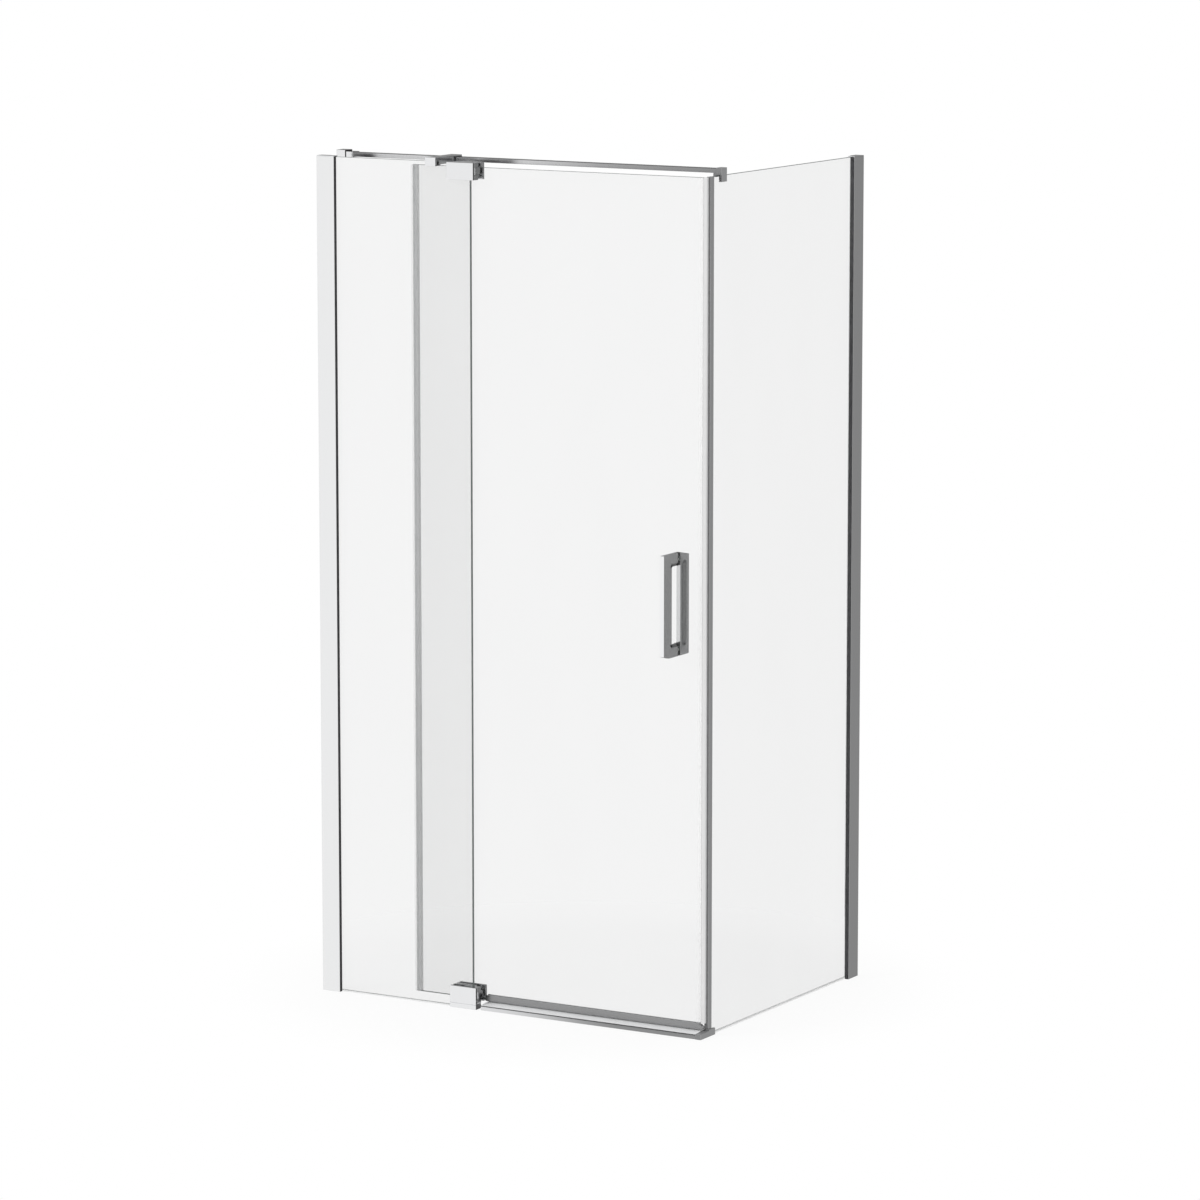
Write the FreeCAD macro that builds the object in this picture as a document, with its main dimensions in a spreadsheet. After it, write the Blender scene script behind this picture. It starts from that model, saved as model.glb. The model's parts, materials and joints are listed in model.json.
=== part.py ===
import FreeCAD, Part
import os
from types import SimpleNamespace

import Sketcher

os.makedirs("parts", exist_ok=True)
doc = FreeCAD.newDocument("PivotShowerDoor")

# Driving dimensions in millimetres. X runs along the front from the left wall, Y runs
# from the front face of the fixed glass into the shower, and Z runs up from the floor.
DIMENSIONS = (
    ("enclosure_width", 1030, "left wall to the outer face of the return glass"),
    ("enclosure_depth", 770, "front face of the fixed glass to the back wall"),
    ("glass_thickness", 8, "all three panes"),
    ("fixed_glass_top", 2001, "top edge of the fixed pane"),
    ("fixed_glass_edge", 416, "free edge of the fixed pane, from the left wall"),
    ("return_glass_drop", 11, "top edge of the return pane, below the fixed pane's"),
    ("floor_seal", 3, "height of the clear strip under the two fixed panes"),
    ("door_gap", 20, "clear space between the fixed pane and the door pane"),
    ("door_overlap", 173, "door pane behind the fixed pane, from the fixed pane's free edge"),
    ("latch_gap", 11.5, "door pane to the outer face of the return glass"),
    ("door_bottom", 18.5, "bottom edge of the door pane"),
    ("door_top_drop", 12, "top edge of the door pane, below the fixed pane's"),
    ("bolt_hole_radius", 6, "holes drilled in the panes for bushed bolts"),
    ("bolt_radius", 3, "shanks of the clamping bolts"),
    ("bolt_head_radius", 5, "heads of the clamping bolts"),
    ("bolt_head_height", 3.5, "heads of the clamping bolts"),
    ("fit_clearance", 0.05, "radial clearance of pins, bolts and bushes"),
    ("soft_gap", 0.4, "gap between a seal on the door and what it closes on"),
    ("edge_round", 1.2, "rounding on the edges of the metal blocks"),
    ("jamb_width", 48, "outer leg of a wall profile, from the wall"),
    ("jamb_proud", 10, "wall profile beyond the outer face of its pane"),
    ("jamb_inner_width", 30, "leg of a wall profile on the shower's side, from the wall"),
    ("jamb_inner_proud", 4, "wall profile beyond the pane's face on the shower's side"),
    ("jamb_wall", 2, "metal thickness of the wall profile"),
    ("jamb_lip", 1.5, "returned lip at the mouth of the wall profile"),
    ("jamb_above_glass", 2.5, "top of a wall profile over its pane"),
    ("jamb_cap", 2, "thickness of the cap on a wall profile"),
    ("glass_from_wall", 12, "edge of a pane inside its wall profile, from the wall"),
    ("gasket_depth", 9, "glazing gaskets, into the profile"),
    ("gasket_proud", 0.5, "glazing gaskets beyond the legs of the profile"),
    ("insert_gap", 1, "clamping insert to the back of the profile and to the gasket"),
    ("block_size", 60, "length of a setting block behind the pane's edge"),
    ("wall_hole_radius", 3, "screw holes in the back of the wall profile"),
    ("wall_hole_end", 150, "outer wall screw hole, from each end of a profile"),
    ("wall_hole_inner", 600, "spacing of the two inner wall screw holes"),
    ("side_screw_radius", 2, "screws through the inner side of a wall profile"),
    ("side_screw_head", 3.6, "radius of their pan heads"),
    ("side_screw_head_height", 2, "height of their pan heads"),
    ("side_screw_end", 260, "outer side screws, from each end of a profile"),
    ("side_screw_tip", 1.5, "end of a side screw short of the profile's outer wall"),
    ("pivot_setback", 11, "pivot axis behind the front face of the fixed glass"),
    ("block_width", 72, "hinge block along the pane"),
    ("block_overhang", 13, "hinge block beyond the free edge of the fixed glass"),
    ("block_height", 40, "hinge block"),
    ("foot_height", 12, "foot under the lower hinge block"),
    ("foot_groove", 1, "groove around the top of the foot"),
    ("cover_thickness", 7, "outer plate of a hinge block"),
    ("gasket_thickness", 1, "soft sheets between metal and glass"),
    ("notch_width", 28, "corner cut out of the fixed pane behind a hinge cover"),
    ("notch_cover", 2, "hinge block beyond the corner cut-out"),
    ("inner_plate", 7.5, "hinge body on the inner face of the fixed pane"),
    ("lug_height", 11, "each of the two lugs that hold the pivot pin"),
    ("pin_radius", 3.5, "pivot pin"),
    ("knuckle_radius", 11.5, "barrel between the two lugs"),
    ("knuckle_gap", 1.5, "barrel to the web behind it"),
    ("knuckle_play", 0.3, "barrel to the upper lug"),
    ("bush_wall", 2, "wall of the plastic bush in the barrel"),
    ("flange_radius", 9, "flange of the bush, which carries the door"),
    ("flange_height", 1, "flange of the bush"),
    ("clamp_front", 6.5, "door clamp on the outer face of the door pane"),
    ("clamp_back", 6, "door clamp plate on the inner face of the door pane"),
    ("clamp_setback", 6, "door clamp, from the pivot axis, beside the lugs"),
    ("clamp_lift", 3, "door clamp over the foot of the lower block"),
    ("cover_bolt_inset", 15, "bolts of the hinge cover, from its left edge"),
    ("cover_bolt_spacing", 20, "the two bolts of a hinge cover, up and down"),
    ("clamp_bolt_inset", 14, "first bolt of a door clamp, from its left edge"),
    ("clamp_bolt_spacing", 27, "the two bolts of a door clamp, along the pane"),
    ("clamp_bolt_depth", 14, "bolts of a door clamp, from the end of the block"),
    ("header_front", 79, "front face of the header bar"),
    ("header_depth", 25, "header bar, front to back"),
    ("header_height", 10, "header bar, up and down"),
    ("header_drop", 5, "underside of the header bar, below the top of the fixed pane"),
    ("header_wall", 1.5, "metal thickness of the header bar"),
    ("header_round", 1.2, "rounding along the header bar"),
    ("bracket_length", 25, "wall bracket of the header bar"),
    ("bracket_back", 6, "wall bracket behind the end of the bar"),
    ("bracket_side", 3, "wall bracket around the bar, front and back"),
    ("bracket_below", 2, "wall bracket under the bar"),
    ("bracket_above", 5, "wall bracket over the bar"),
    ("sleeve_length", 20, "sleeve on the wall bracket"),
    ("sleeve_groove", 1, "groove between the wall bracket and its sleeve"),
    ("sleeve_wall", 1.5, "sleeve around the bar"),
    ("bracket_hole_radius", 2.6, "wall screw hole in the bracket"),
    ("grub_radius", 2.5, "grub screws of the header"),
    ("grub_cover", 2, "metal beside the arm's grub screw"),
    ("arm_inset", 89, "arm that holds the fixed pane, from the pane's free edge"),
    ("arm_width", 28, "arm along the header"),
    ("arm_above", 4, "arm above the header bar"),
    ("arm_below", 3, "arm below the header bar"),
    ("arm_tab_drop", 11, "tabs of the arm, below the top of the fixed pane"),
    ("arm_tab", 7, "thickness of the tabs on the fixed pane"),
    ("arm_end", 6, "arm behind the header bar"),
    ("liner_wall", 1.2, "plastic liner between the arm and the bar"),
    ("liner_proud", 3, "liner beyond the arm's right side"),
    ("saddle_leg", 6, "outer leg of the clamp on the return pane"),
    ("saddle_drop", 14, "outer leg below the top of the return pane"),
    ("saddle_lip", 3, "inner lip below the top of the return pane"),
    ("saddle_above", 2, "clamp above the header bar"),
    ("saddle_tongue", 30, "tongue of the clamp inside the header bar"),
    ("saddle_play", 0.3, "clamp to the underside of the header bar"),
    ("sill_front", -3, "front face of the sill"),
    ("sill_back", 46, "back face of the sill"),
    ("sill_front_height", 11.5, "sill at its front face"),
    ("sill_height", 14, "sill under the door"),
    ("sill_slope_end", 20, "where the slope on the sill meets its flat top"),
    ("sill_wall", 3, "metal thickness of the sill"),
    ("sill_groove", 1, "groove along the front of the sill, both ways"),
    ("sill_start", 10.5, "sill, from the right side of the hinge foot"),
    ("cap_front", -5, "front face of the sill's end cap"),
    ("cap_proud", 6, "end cap beyond the outer face of the return glass"),
    ("cap_back", 64, "back face of the end cap"),
    ("cap_step", 36, "where the end cap gets taller"),
    ("cap_front_height", 13, "end cap in front of the door"),
    ("cap_height", 16, "end cap around the return glass"),
    ("strike_front", 39, "front face of the strike profile"),
    ("strike_depth", 16, "strike profile, front to back"),
    ("strike_web", 4, "strike profile in front of the return glass"),
    ("strike_leg", 1.2, "strike profile on each face of the return glass"),
    ("magnet_width", 6, "magnet strip in the strike profile"),
    ("magnet_depth", 2.5, "magnet strip in the strike profile"),
    ("seal_wall", 1, "legs of the clear seals on the door's edges"),
    ("seal_grip", 12, "clear seals, from the edge onto the pane"),
    ("seal_carrier", 6.5, "magnet carrier of the latch seal"),
    ("seal_fin_reach", 6, "fin of the pivot-side seal, away from the pane"),
    ("seal_fin_slope", 3, "fin of the pivot-side seal, from its root back to its tip"),
    ("rail_start", 20, "bottom rail, from the pivot axis"),
    ("rail_wall", 3, "bottom rail on each face of the door pane"),
    ("rail_floor", 2, "bottom rail under the door pane"),
    ("rail_height", 14, "bottom rail"),
    ("rail_past_glass", 3.5, "bottom rail beyond the latch edge of the pane"),
    ("rail_slant_length", 11, "sloping end of the bottom rail"),
    ("rail_slant_height", 8, "sloping end of the bottom rail"),
    ("sweep_thickness", 2, "fin under the bottom rail"),
    ("handle_from_edge", 63, "handle, from the latch edge of the door pane"),
    ("handle_thickness", 10, "both grips, along the pane"),
    ("handle_bottom", 888, "lower end of both grips"),
    ("handle_length", 240, "both grips"),
    ("handle_round", 3, "corners of both grips, seen from the side"),
    ("handle_reach", 67, "outer grip in front of the door pane"),
    ("handle_bar", 37, "front bar of the outer grip"),
    ("handle_leg", 30, "legs of the outer grip"),
    ("handle_cut_length", 25, "sloping cut at the foot of the outer grip, front to back"),
    ("handle_cut_height", 6, "sloping cut at the foot of the outer grip, up and down"),
    ("handle_bevel_height", 9, "bevel on the window's ends"),
    ("handle_bevel_depth", 3, "bevel on the window's ends"),
    ("handle_pad", 1.5, "soft pads under the outer grip"),
    ("inner_reach", 41, "inner grip behind the door pane"),
    ("inner_slope", 8, "fall of the inner grip's top towards the shower"),
    ("scoop_width", 24, "finger hollow in the inner grip"),
    ("scoop_depth", 2.6, "finger hollow in the inner grip"),
    ("scoop_end", 20, "finger hollow, from each end of the inner grip"),
    ("handle_bolt_inset", 15, "bolts of the grips, from each end"),
    ("handle_bolt_depth", 18, "bolts of the grips, into each grip"),
)

sheet = doc.addObject("Spreadsheet::Sheet", "Sheet")
for row, (alias, size, meaning) in enumerate(DIMENSIONS, start=1):
    sheet.set(f"A{row}", meaning)
    sheet.set(f"B{row}", str(size))
    sheet.setAlias(f"B{row}", alias)
doc.recompute()


class Length:
    """A length that is written as an expression on the sheet's cells."""

    def __init__(self, text):
        self.text = text

    def __add__(self, other):
        return Length(f"({self.text} + {text_of(other)})")

    def __radd__(self, other):
        return Length(f"({text_of(other)} + {self.text})")

    def __sub__(self, other):
        return Length(f"({self.text} - {text_of(other)})")

    def __rsub__(self, other):
        return Length(f"({text_of(other)} - {self.text})")

    def __mul__(self, other):
        return Length(f"({self.text} * {text_of(other)})")

    def __truediv__(self, other):
        return Length(f"({self.text} / {text_of(other)})")

    def __neg__(self):
        return Length(f"(0 - {self.text})")


def text_of(length):
    return length.text if isinstance(length, Length) else str(length)


def number(length):
    """The present value of a length."""
    return float(sheet.evalExpression(text_of(length)))


def smaller(first, second):
    return Length(f"min({text_of(first)}; {text_of(second)})")


s = SimpleNamespace(**{alias: Length(f"Sheet.{alias}") for alias, size, meaning in DIMENSIONS})


# ------------------------------------------------------------------ making solids


def bind(thing, path, length):
    thing.setExpression(path, text_of(length))


def box(x_span, y_span, z_span):
    solid = doc.addObject("Part::Box", "Block")
    for side, path, span in zip(("Length", "Width", "Height"), "xyz", (x_span, y_span, z_span)):
        bind(solid, side, span[1] - span[0])
        bind(solid, f"Placement.Base.{path}", span[0])
    return solid


ROD_TURNS = {
    "x": FreeCAD.Rotation(FreeCAD.Vector(0, 1, 0), 90),
    "y": FreeCAD.Rotation(FreeCAD.Vector(1, 0, 0), -90),
    "z": FreeCAD.Rotation(),
}


def rod(axis, centre, span, radius):
    """A cylinder along an axis, with centre its place on the two other axes."""
    solid = doc.addObject("Part::Cylinder", "Rod")
    solid.Placement = FreeCAD.Placement(FreeCAD.Vector(), ROD_TURNS[axis])
    bind(solid, "Radius", radius)
    bind(solid, "Height", span[1] - span[0])
    others = [path for path in "xyz" if path != axis]
    bind(solid, f"Placement.Base.{axis}", span[0])
    for path, place in zip(others, centre):
        bind(solid, f"Placement.Base.{path}", place)
    return solid


def ball(centre, radius):
    solid = doc.addObject("Part::Sphere", "Ball")
    bind(solid, "Radius", radius)
    for path, place in zip("xyz", centre):
        bind(solid, f"Placement.Base.{path}", place)
    return solid


def draw_outline(sketch, points):
    """Draw a closed outline whose corners are all tied to the sheet."""
    corners = [FreeCAD.Vector(number(across), number(up), 0) for across, up in points]
    for index, corner in enumerate(corners):
        following = corners[(index + 1) % len(corners)]
        sketch.addGeometry(Part.LineSegment(corner, following), False)
    for index in range(len(corners)):
        joint = Sketcher.Constraint("Coincident", index, 2, (index + 1) % len(corners), 1)
        sketch.addConstraint(joint)
    for index, (point, corner) in enumerate(zip(points, corners)):
        for kind, length, value in zip(("DistanceX", "DistanceY"), point, (corner.x, corner.y)):
            place = sketch.addConstraint(Sketcher.Constraint(kind, -1, 1, index, 1, value))
            sketch.renameConstraint(place, f"{kind}_{index}")
            bind(sketch, f"Constraints.{kind}_{index}", length)


PLANES = {"x": "YZ_Plane", "y": "XZ_Plane", "z": "XY_Plane"}


def add_sketch(body, axis, level, points):
    """A sketch square to an axis of its own body, at a level along that axis."""
    sketch = body.newObject("Sketcher::SketchObject", "Outline")
    plane = [item for item in body.Origin.OriginFeatures if item.Role == PLANES[axis]][0]
    sketch.AttachmentSupport = [(plane, "")]
    sketch.MapMode = "FlatFace"
    bind(sketch, "AttachmentOffset.Base.z", -level if axis == "y" else level)
    draw_outline(sketch, points)
    return sketch


def prism(axis, points, span):
    """A body padded along an axis from an outline on the two other axes."""
    body = doc.addObject("PartDesign::Body", "Body")
    # The XZ plane faces -Y, so its pad starts at the far end of the span.
    start = span[1] if axis == "y" else span[0]
    sketch = add_sketch(body, axis, start, points)
    pad = body.newObject("PartDesign::Pad", "Pad")
    pad.Profile = sketch
    bind(pad, "Length", span[1] - span[0])
    doc.recompute()
    return body


DIRECTIONS = {
    "x": FreeCAD.Vector(1, 0, 0),
    "y": FreeCAD.Vector(0, 1, 0),
    "z": FreeCAD.Vector(0, 0, 1),
}


def round_edges(body, axis, radius):
    """Round every edge of a body that runs along an axis."""
    direction = DIRECTIONS[axis]
    base = body.Tip
    names = []
    for index, edge in enumerate(base.Shape.Edges, start=1):
        run = edge.Vertexes[-1].Point - edge.Vertexes[0].Point
        if abs(run.dot(direction)) > 0.999 * run.Length:
            names.append(f"Edge{index}")
    fillet = body.newObject("PartDesign::Fillet", "Rounding")
    fillet.Base = (base, names)
    bind(fillet, "Radius", radius)
    doc.recompute()
    return body


def rectangle(first_span, second_span):
    return [
        (first_span[0], second_span[0]),
        (first_span[1], second_span[0]),
        (first_span[1], second_span[1]),
        (first_span[0], second_span[1]),
    ]


def block(x_span, y_span, z_span, radius=None):
    """A block with rounded edges where it faces the front."""
    body = prism("y", rectangle(x_span, z_span), y_span)
    return round_edges(body, "y", radius) if radius else body


def join(*solids):
    union = doc.addObject("Part::MultiFuse", "Joined")
    union.Shapes = list(solids)
    union.Refine = True
    return union


def cut(base, *tools):
    result = doc.addObject("Part::Cut", "Cut")
    result.Base = base
    result.Tool = tools[0] if len(tools) == 1 else join(*tools)
    result.Refine = True
    return result


def group(*solids):
    bundle = doc.addObject("Part::Compound", "Group")
    bundle.Links = list(solids)
    return bundle


# The origin is on the floor, under the middle of the whole part.
front_most = s.glass_thickness + s.door_gap - s.handle_reach
MIDDLE_X = (s.enclosure_width + s.jamb_proud) / 2
MIDDLE_Y = (s.enclosure_depth + front_most) / 2
CORNER = (-MIDDLE_X, -MIDDLE_Y, 0)

sub_parts = []


def sub_part(label, solid, place=CORNER, turn=0):
    """Name a finished piece and put it in its place in the part's own frame."""
    solid.Label = label
    solid.Placement = FreeCAD.Placement(FreeCAD.Vector(), FreeCAD.Rotation(turn, 0, 0))
    for path, length in zip("xyz", place):
        bind(solid, f"Placement.Base.{path}", length)
    sub_parts.append(solid)


# ------------------------------------------------------------------ shared places

glass = s.glass_thickness
door_front = glass + s.door_gap
door_back = door_front + glass
door_right = s.enclosure_width - s.latch_gap
door_left = s.fixed_glass_edge - s.door_overlap
door_top = s.fixed_glass_top - s.door_top_drop
return_top = s.fixed_glass_top - s.return_glass_drop
return_inner = s.enclosure_width - glass

pivot_x = s.fixed_glass_edge
pivot_y = s.pivot_setback
block_right = s.fixed_glass_edge + s.block_overhang
block_left = block_right - s.block_width
notch_left = s.fixed_glass_edge - s.notch_width
low_block = s.foot_height
high_block = s.fixed_glass_top - s.block_height

cover_back = -s.gasket_thickness
cover_front = cover_back - s.cover_thickness
plate_front = glass + s.gasket_thickness
plate_back = plate_front + s.inner_plate
clamp_outer_back = door_front - s.gasket_thickness
clamp_outer_front = clamp_outer_back - s.clamp_front
clamp_inner_front = door_back + s.gasket_thickness
clamp_inner_back = clamp_inner_front + s.clamp_back
clamp_left_edge = pivot_x - s.clamp_setback

cover_bolt_x = block_left + s.cover_bolt_inset
clamp_bolt_xs = [
    block_left + s.clamp_bolt_inset,
    block_left + s.clamp_bolt_inset + s.clamp_bolt_spacing,
]

handle_right = door_right - s.handle_from_edge
handle_left = handle_right - s.handle_thickness
handle_x = handle_right - s.handle_thickness / 2
handle_top = s.handle_bottom + s.handle_length
handle_bolt_zs = [s.handle_bottom + s.handle_bolt_inset, handle_top - s.handle_bolt_inset]

bolt_hole = s.bolt_radius + s.fit_clearance
head_hole = s.bolt_head_radius + s.fit_clearance


def cover_bolt_zs(base):
    """Heights of the two bolts in the hinge cover whose lower edge is at base."""
    middle = base + s.block_height / 2
    return [middle - s.cover_bolt_spacing / 2, middle + s.cover_bolt_spacing / 2]


CLAMP_BOLT_Z = {
    "bottom": low_block + s.block_height - s.clamp_bolt_depth,
    "top": high_block + s.clamp_bolt_depth,
}


# ------------------------------------------------------------------ panes


def make_fixed_glass():
    low_notch = low_block + s.block_height - s.notch_cover
    high_notch = high_block + s.notch_cover
    points = [
        (s.glass_from_wall, s.floor_seal),
        (notch_left, s.floor_seal),
        (notch_left, low_notch),
        (s.fixed_glass_edge, low_notch),
        (s.fixed_glass_edge, high_notch),
        (notch_left, high_notch),
        (notch_left, s.fixed_glass_top),
        (s.glass_from_wall, s.fixed_glass_top),
    ]
    pane = prism("y", points, (0, glass))
    holes = [
        rod("y", (cover_bolt_x, height), (0, glass), s.bolt_hole_radius)
        for base in (low_block, high_block)
        for height in cover_bolt_zs(base)
    ]
    sub_part("fixed_glass", cut(pane, *holes))


def make_door_glass():
    outline = rectangle((door_left, door_right), (s.door_bottom, door_top))
    pane = prism("y", outline, (door_front, door_back))
    centres = [(x, z) for x in clamp_bolt_xs for z in CLAMP_BOLT_Z.values()]
    centres += [(handle_x, z) for z in handle_bolt_zs]
    holes = [rod("y", centre, (door_front, door_back), s.bolt_hole_radius) for centre in centres]
    sub_part("door_glass", cut(pane, *holes))


def make_return_glass():
    run = (s.strike_front + s.strike_web, s.enclosure_depth - s.glass_from_wall)
    pane = prism("x", rectangle(run, (s.floor_seal, return_top)), (return_inner, s.enclosure_width))
    sub_part("return_glass", pane)


def make_floor_seals():
    fixed_run = rectangle((s.jamb_width, block_left), (0, s.floor_seal))
    sub_part("fixed_glass_floor_seal", prism("y", fixed_run, (0, glass)))
    return_run = (s.strike_front + s.strike_web, s.enclosure_depth - s.jamb_width)
    return_seal = prism("x", rectangle(return_run, (0, s.floor_seal)), (return_inner, s.enclosure_width))
    sub_part("return_glass_floor_seal", return_seal)


# ------------------------------------------------------------------ wall profiles


def make_wall_profile(side, glass_top, place, turn, inner):
    """
    A wall profile with what is inside it, drawn with x away from the wall and y
    across the pane. inner is 1 or -1, the side of y that faces the shower.
    """
    half_glass = glass / 2
    half = half_glass + s.jamb_proud
    inside = half - s.jamb_wall
    lip = inside - s.jamb_lip
    inner_half = half_glass + s.jamb_inner_proud
    inner_inside = inner_half - s.jamb_wall
    mouth = s.jamb_width - s.jamb_wall
    top = glass_top + s.jamb_above_glass - s.jamb_cap

    def turned(points):
        """An outline drawn with the shower on the side of positive y."""
        return [(x, y if inner > 0 else -y) for x, y in points]

    def across(low, high):
        """A span of y given with the shower on the side of positive y."""
        return (low, high) if inner > 0 else (-high, -low)

    outline = [
        (0, -half),
        (s.jamb_width, -half),
        (s.jamb_width, -lip),
        (mouth, -lip),
        (mouth, -inside),
        (s.jamb_wall, -inside),
        (s.jamb_wall, inner_inside),
        (s.jamb_inner_width, inner_inside),
        (s.jamb_inner_width, inner_half),
        (0, inner_half),
    ]
    hole_zs = [
        s.wall_hole_end,
        top / 2 - s.wall_hole_inner / 2,
        top / 2 + s.wall_hole_inner / 2,
        top - s.wall_hole_end,
    ]
    screw_zs = [s.side_screw_end, top / 2 + s.block_size, top - s.side_screw_end]
    screw_x = (s.jamb_wall + s.glass_from_wall) / 2
    screw_hole = s.side_screw_radius + s.fit_clearance
    wall_holes = [rod("x", (0, z), (0, s.jamb_wall), s.wall_hole_radius) for z in hole_zs]
    side_holes = [rod("y", (screw_x, z), across(inner_inside, inner_half), screw_hole) for z in screw_zs]
    profile = prism("z", turned(outline), (0, top))
    sub_part(f"{side}_wall_profile", cut(profile, *wall_holes, *side_holes), place, turn)

    seal_end = s.jamb_width + s.gasket_proud
    seal_start = s.jamb_width - s.gasket_depth
    seal_face = half - s.gasket_proud / 2
    outer_gasket = [
        (seal_start, -half_glass),
        (seal_end, -half_glass),
        (seal_end, -seal_face),
        (s.jamb_width, -seal_face),
        (s.jamb_width, -lip),
        (mouth, -lip),
        (seal_start, -inside),
    ]
    inner_run = (s.jamb_inner_width - s.gasket_depth, s.jamb_inner_width + s.gasket_proud)
    gaskets = group(
        prism("z", turned(outer_gasket), (0, top)),
        prism("z", rectangle(inner_run, across(half_glass, inner_inside)), (0, top)),
    )
    sub_part(f"{side}_glazing_gaskets", gaskets, place, turn)

    insert_run = (s.jamb_wall + s.insert_gap, seal_start - s.insert_gap)
    insert_across = across(-inside, -half_glass)
    insert = prism("z", rectangle(insert_run, insert_across), (0, top))
    insert_holes = [rod("y", (screw_x, z), insert_across, screw_hole) for z in screw_zs]
    sub_part(f"{side}_clamping_insert", cut(insert, *insert_holes), place, turn)

    blocks = [
        box((s.jamb_wall, s.glass_from_wall), (-half_glass, half_glass), (z, z + s.block_size))
        for z in (s.floor_seal, top / 2 - s.block_size / 2, glass_top - s.block_size)
    ]
    sub_part(f"{side}_setting_blocks", group(*blocks), place, turn)

    head_across = across(inner_half, inner_half + s.side_screw_head_height)
    shank_across = across(s.side_screw_tip - inside, inner_half)
    screws = [
        join(
            rod("y", (screw_x, z), head_across, s.side_screw_head),
            rod("y", (screw_x, z), shank_across, s.side_screw_radius),
        )
        for z in screw_zs
    ]
    sub_part(f"{side}_profile_screws", group(*screws), place, turn)

    cap_outline = [
        (0, -half),
        (s.jamb_width, -half),
        (s.jamb_width, half_glass),
        (s.jamb_inner_width, half_glass),
        (s.jamb_inner_width, inner_half),
        (0, inner_half),
    ]
    cap = prism("z", turned(cap_outline), (top, top + s.jamb_cap))
    cap = round_edges(cap, "z", smaller(s.edge_round, s.jamb_wall))
    sub_part(f"{side}_profile_cap", cap, place, turn)


# ------------------------------------------------------------------ header bar

header_back = s.header_front + s.header_depth
header_bottom = s.fixed_glass_top - s.header_drop
header_top = header_bottom + s.header_height
header_y = s.header_front + s.header_depth / 2
header_z = header_bottom + s.header_height / 2
arm_right = s.fixed_glass_edge - s.arm_inset
arm_left = arm_right - s.arm_width
arm_x = arm_right - s.arm_width / 2
arm_top = header_top + s.arm_above
arm_tab_bottom = s.fixed_glass_top - s.arm_tab_drop
saddle_left = return_inner - s.gasket_thickness
saddle_right = s.enclosure_width + s.gasket_thickness + s.saddle_leg
saddle_screw_place = (saddle_left - s.saddle_tongue / 2, header_y)
header_lower_wall = (header_bottom, header_bottom + s.header_wall)
grub_hole = s.grub_radius + s.fit_clearance


def around_header(margin):
    """The two spans across the header bar, wider by a margin on every side."""
    return (s.header_front - margin, header_back + margin), (header_bottom - margin, header_top + margin)


def make_header_bar():
    run = (s.bracket_back, saddle_left)
    outer = round_edges(prism("x", rectangle(*around_header(0)), run), "x", s.header_round)
    inside = box(run, *around_header(-s.header_wall))
    screw_hole = rod("z", saddle_screw_place, header_lower_wall, grub_hole)
    sub_part("header_bar", cut(outer, inside, screw_hole))


def make_wall_bracket():
    body_y = (s.header_front - s.bracket_side, header_back + s.bracket_side)
    body_z = (header_bottom - s.bracket_below, header_top + s.bracket_above)
    body = round_edges(prism("x", rectangle(body_y, body_z), (0, s.bracket_length)), "x", s.edge_round)
    neck_run = (s.bracket_length, s.bracket_length + s.sleeve_groove)
    neck = box(neck_run, *around_header(s.sleeve_wall / 2))
    sleeve_run = (neck_run[1], neck_run[1] + s.sleeve_length)
    sleeve = prism("x", rectangle(*around_header(s.sleeve_wall)), sleeve_run)
    socket = box((s.bracket_back, sleeve_run[1]), *around_header(0))
    wall_hole = rod("x", (header_y, header_z), (0, s.bracket_back), s.bracket_hole_radius)
    screw_hole = rod("z", (s.bracket_length / 2, header_y), (header_top, body_z[1]), grub_hole)
    sub_part("header_wall_bracket", cut(join(body, neck, sleeve), socket, wall_hole, screw_hole))


def make_panel_arm():
    run = (arm_left, arm_right)
    tab_z = (arm_tab_bottom, arm_top)
    front_tab = block(run, (cover_back - s.arm_tab, cover_back), tab_z)
    back_tab = box(run, (plate_front, plate_front + s.arm_tab), tab_z)
    bridge_bottom = s.fixed_glass_top + s.gasket_thickness
    bridge = box(run, (cover_back, plate_front), (bridge_bottom, arm_top))
    beam_z = (header_bottom - s.arm_below, arm_top)
    beam = box(run, (plate_front, header_back + s.arm_end), beam_z)
    passage = box(run, *around_header(s.liner_wall))
    grub_z = arm_tab_bottom + s.grub_radius + s.grub_cover
    grub_run = (plate_front, plate_front + s.arm_tab)
    screw_hole = rod("y", (arm_x, grub_z), grub_run, grub_hole)
    sub_part("panel_arm", cut(join(front_tab, back_tab, bridge, beam), passage, screw_hole))

    liner_run = (arm_left, arm_right + s.liner_proud)
    liner = cut(box(liner_run, *around_header(s.liner_wall)), box(liner_run, *around_header(0)))
    sub_part("panel_arm_liner", liner)

    pad = box(run, (cover_back, plate_front), (arm_tab_bottom, bridge_bottom))
    pane = box(run, (0, glass), (arm_tab_bottom, s.fixed_glass_top))
    sub_part("panel_arm_pads", cut(pad, pane))
    return rod("y", (arm_x, grub_z), grub_run, s.grub_radius)


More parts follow.
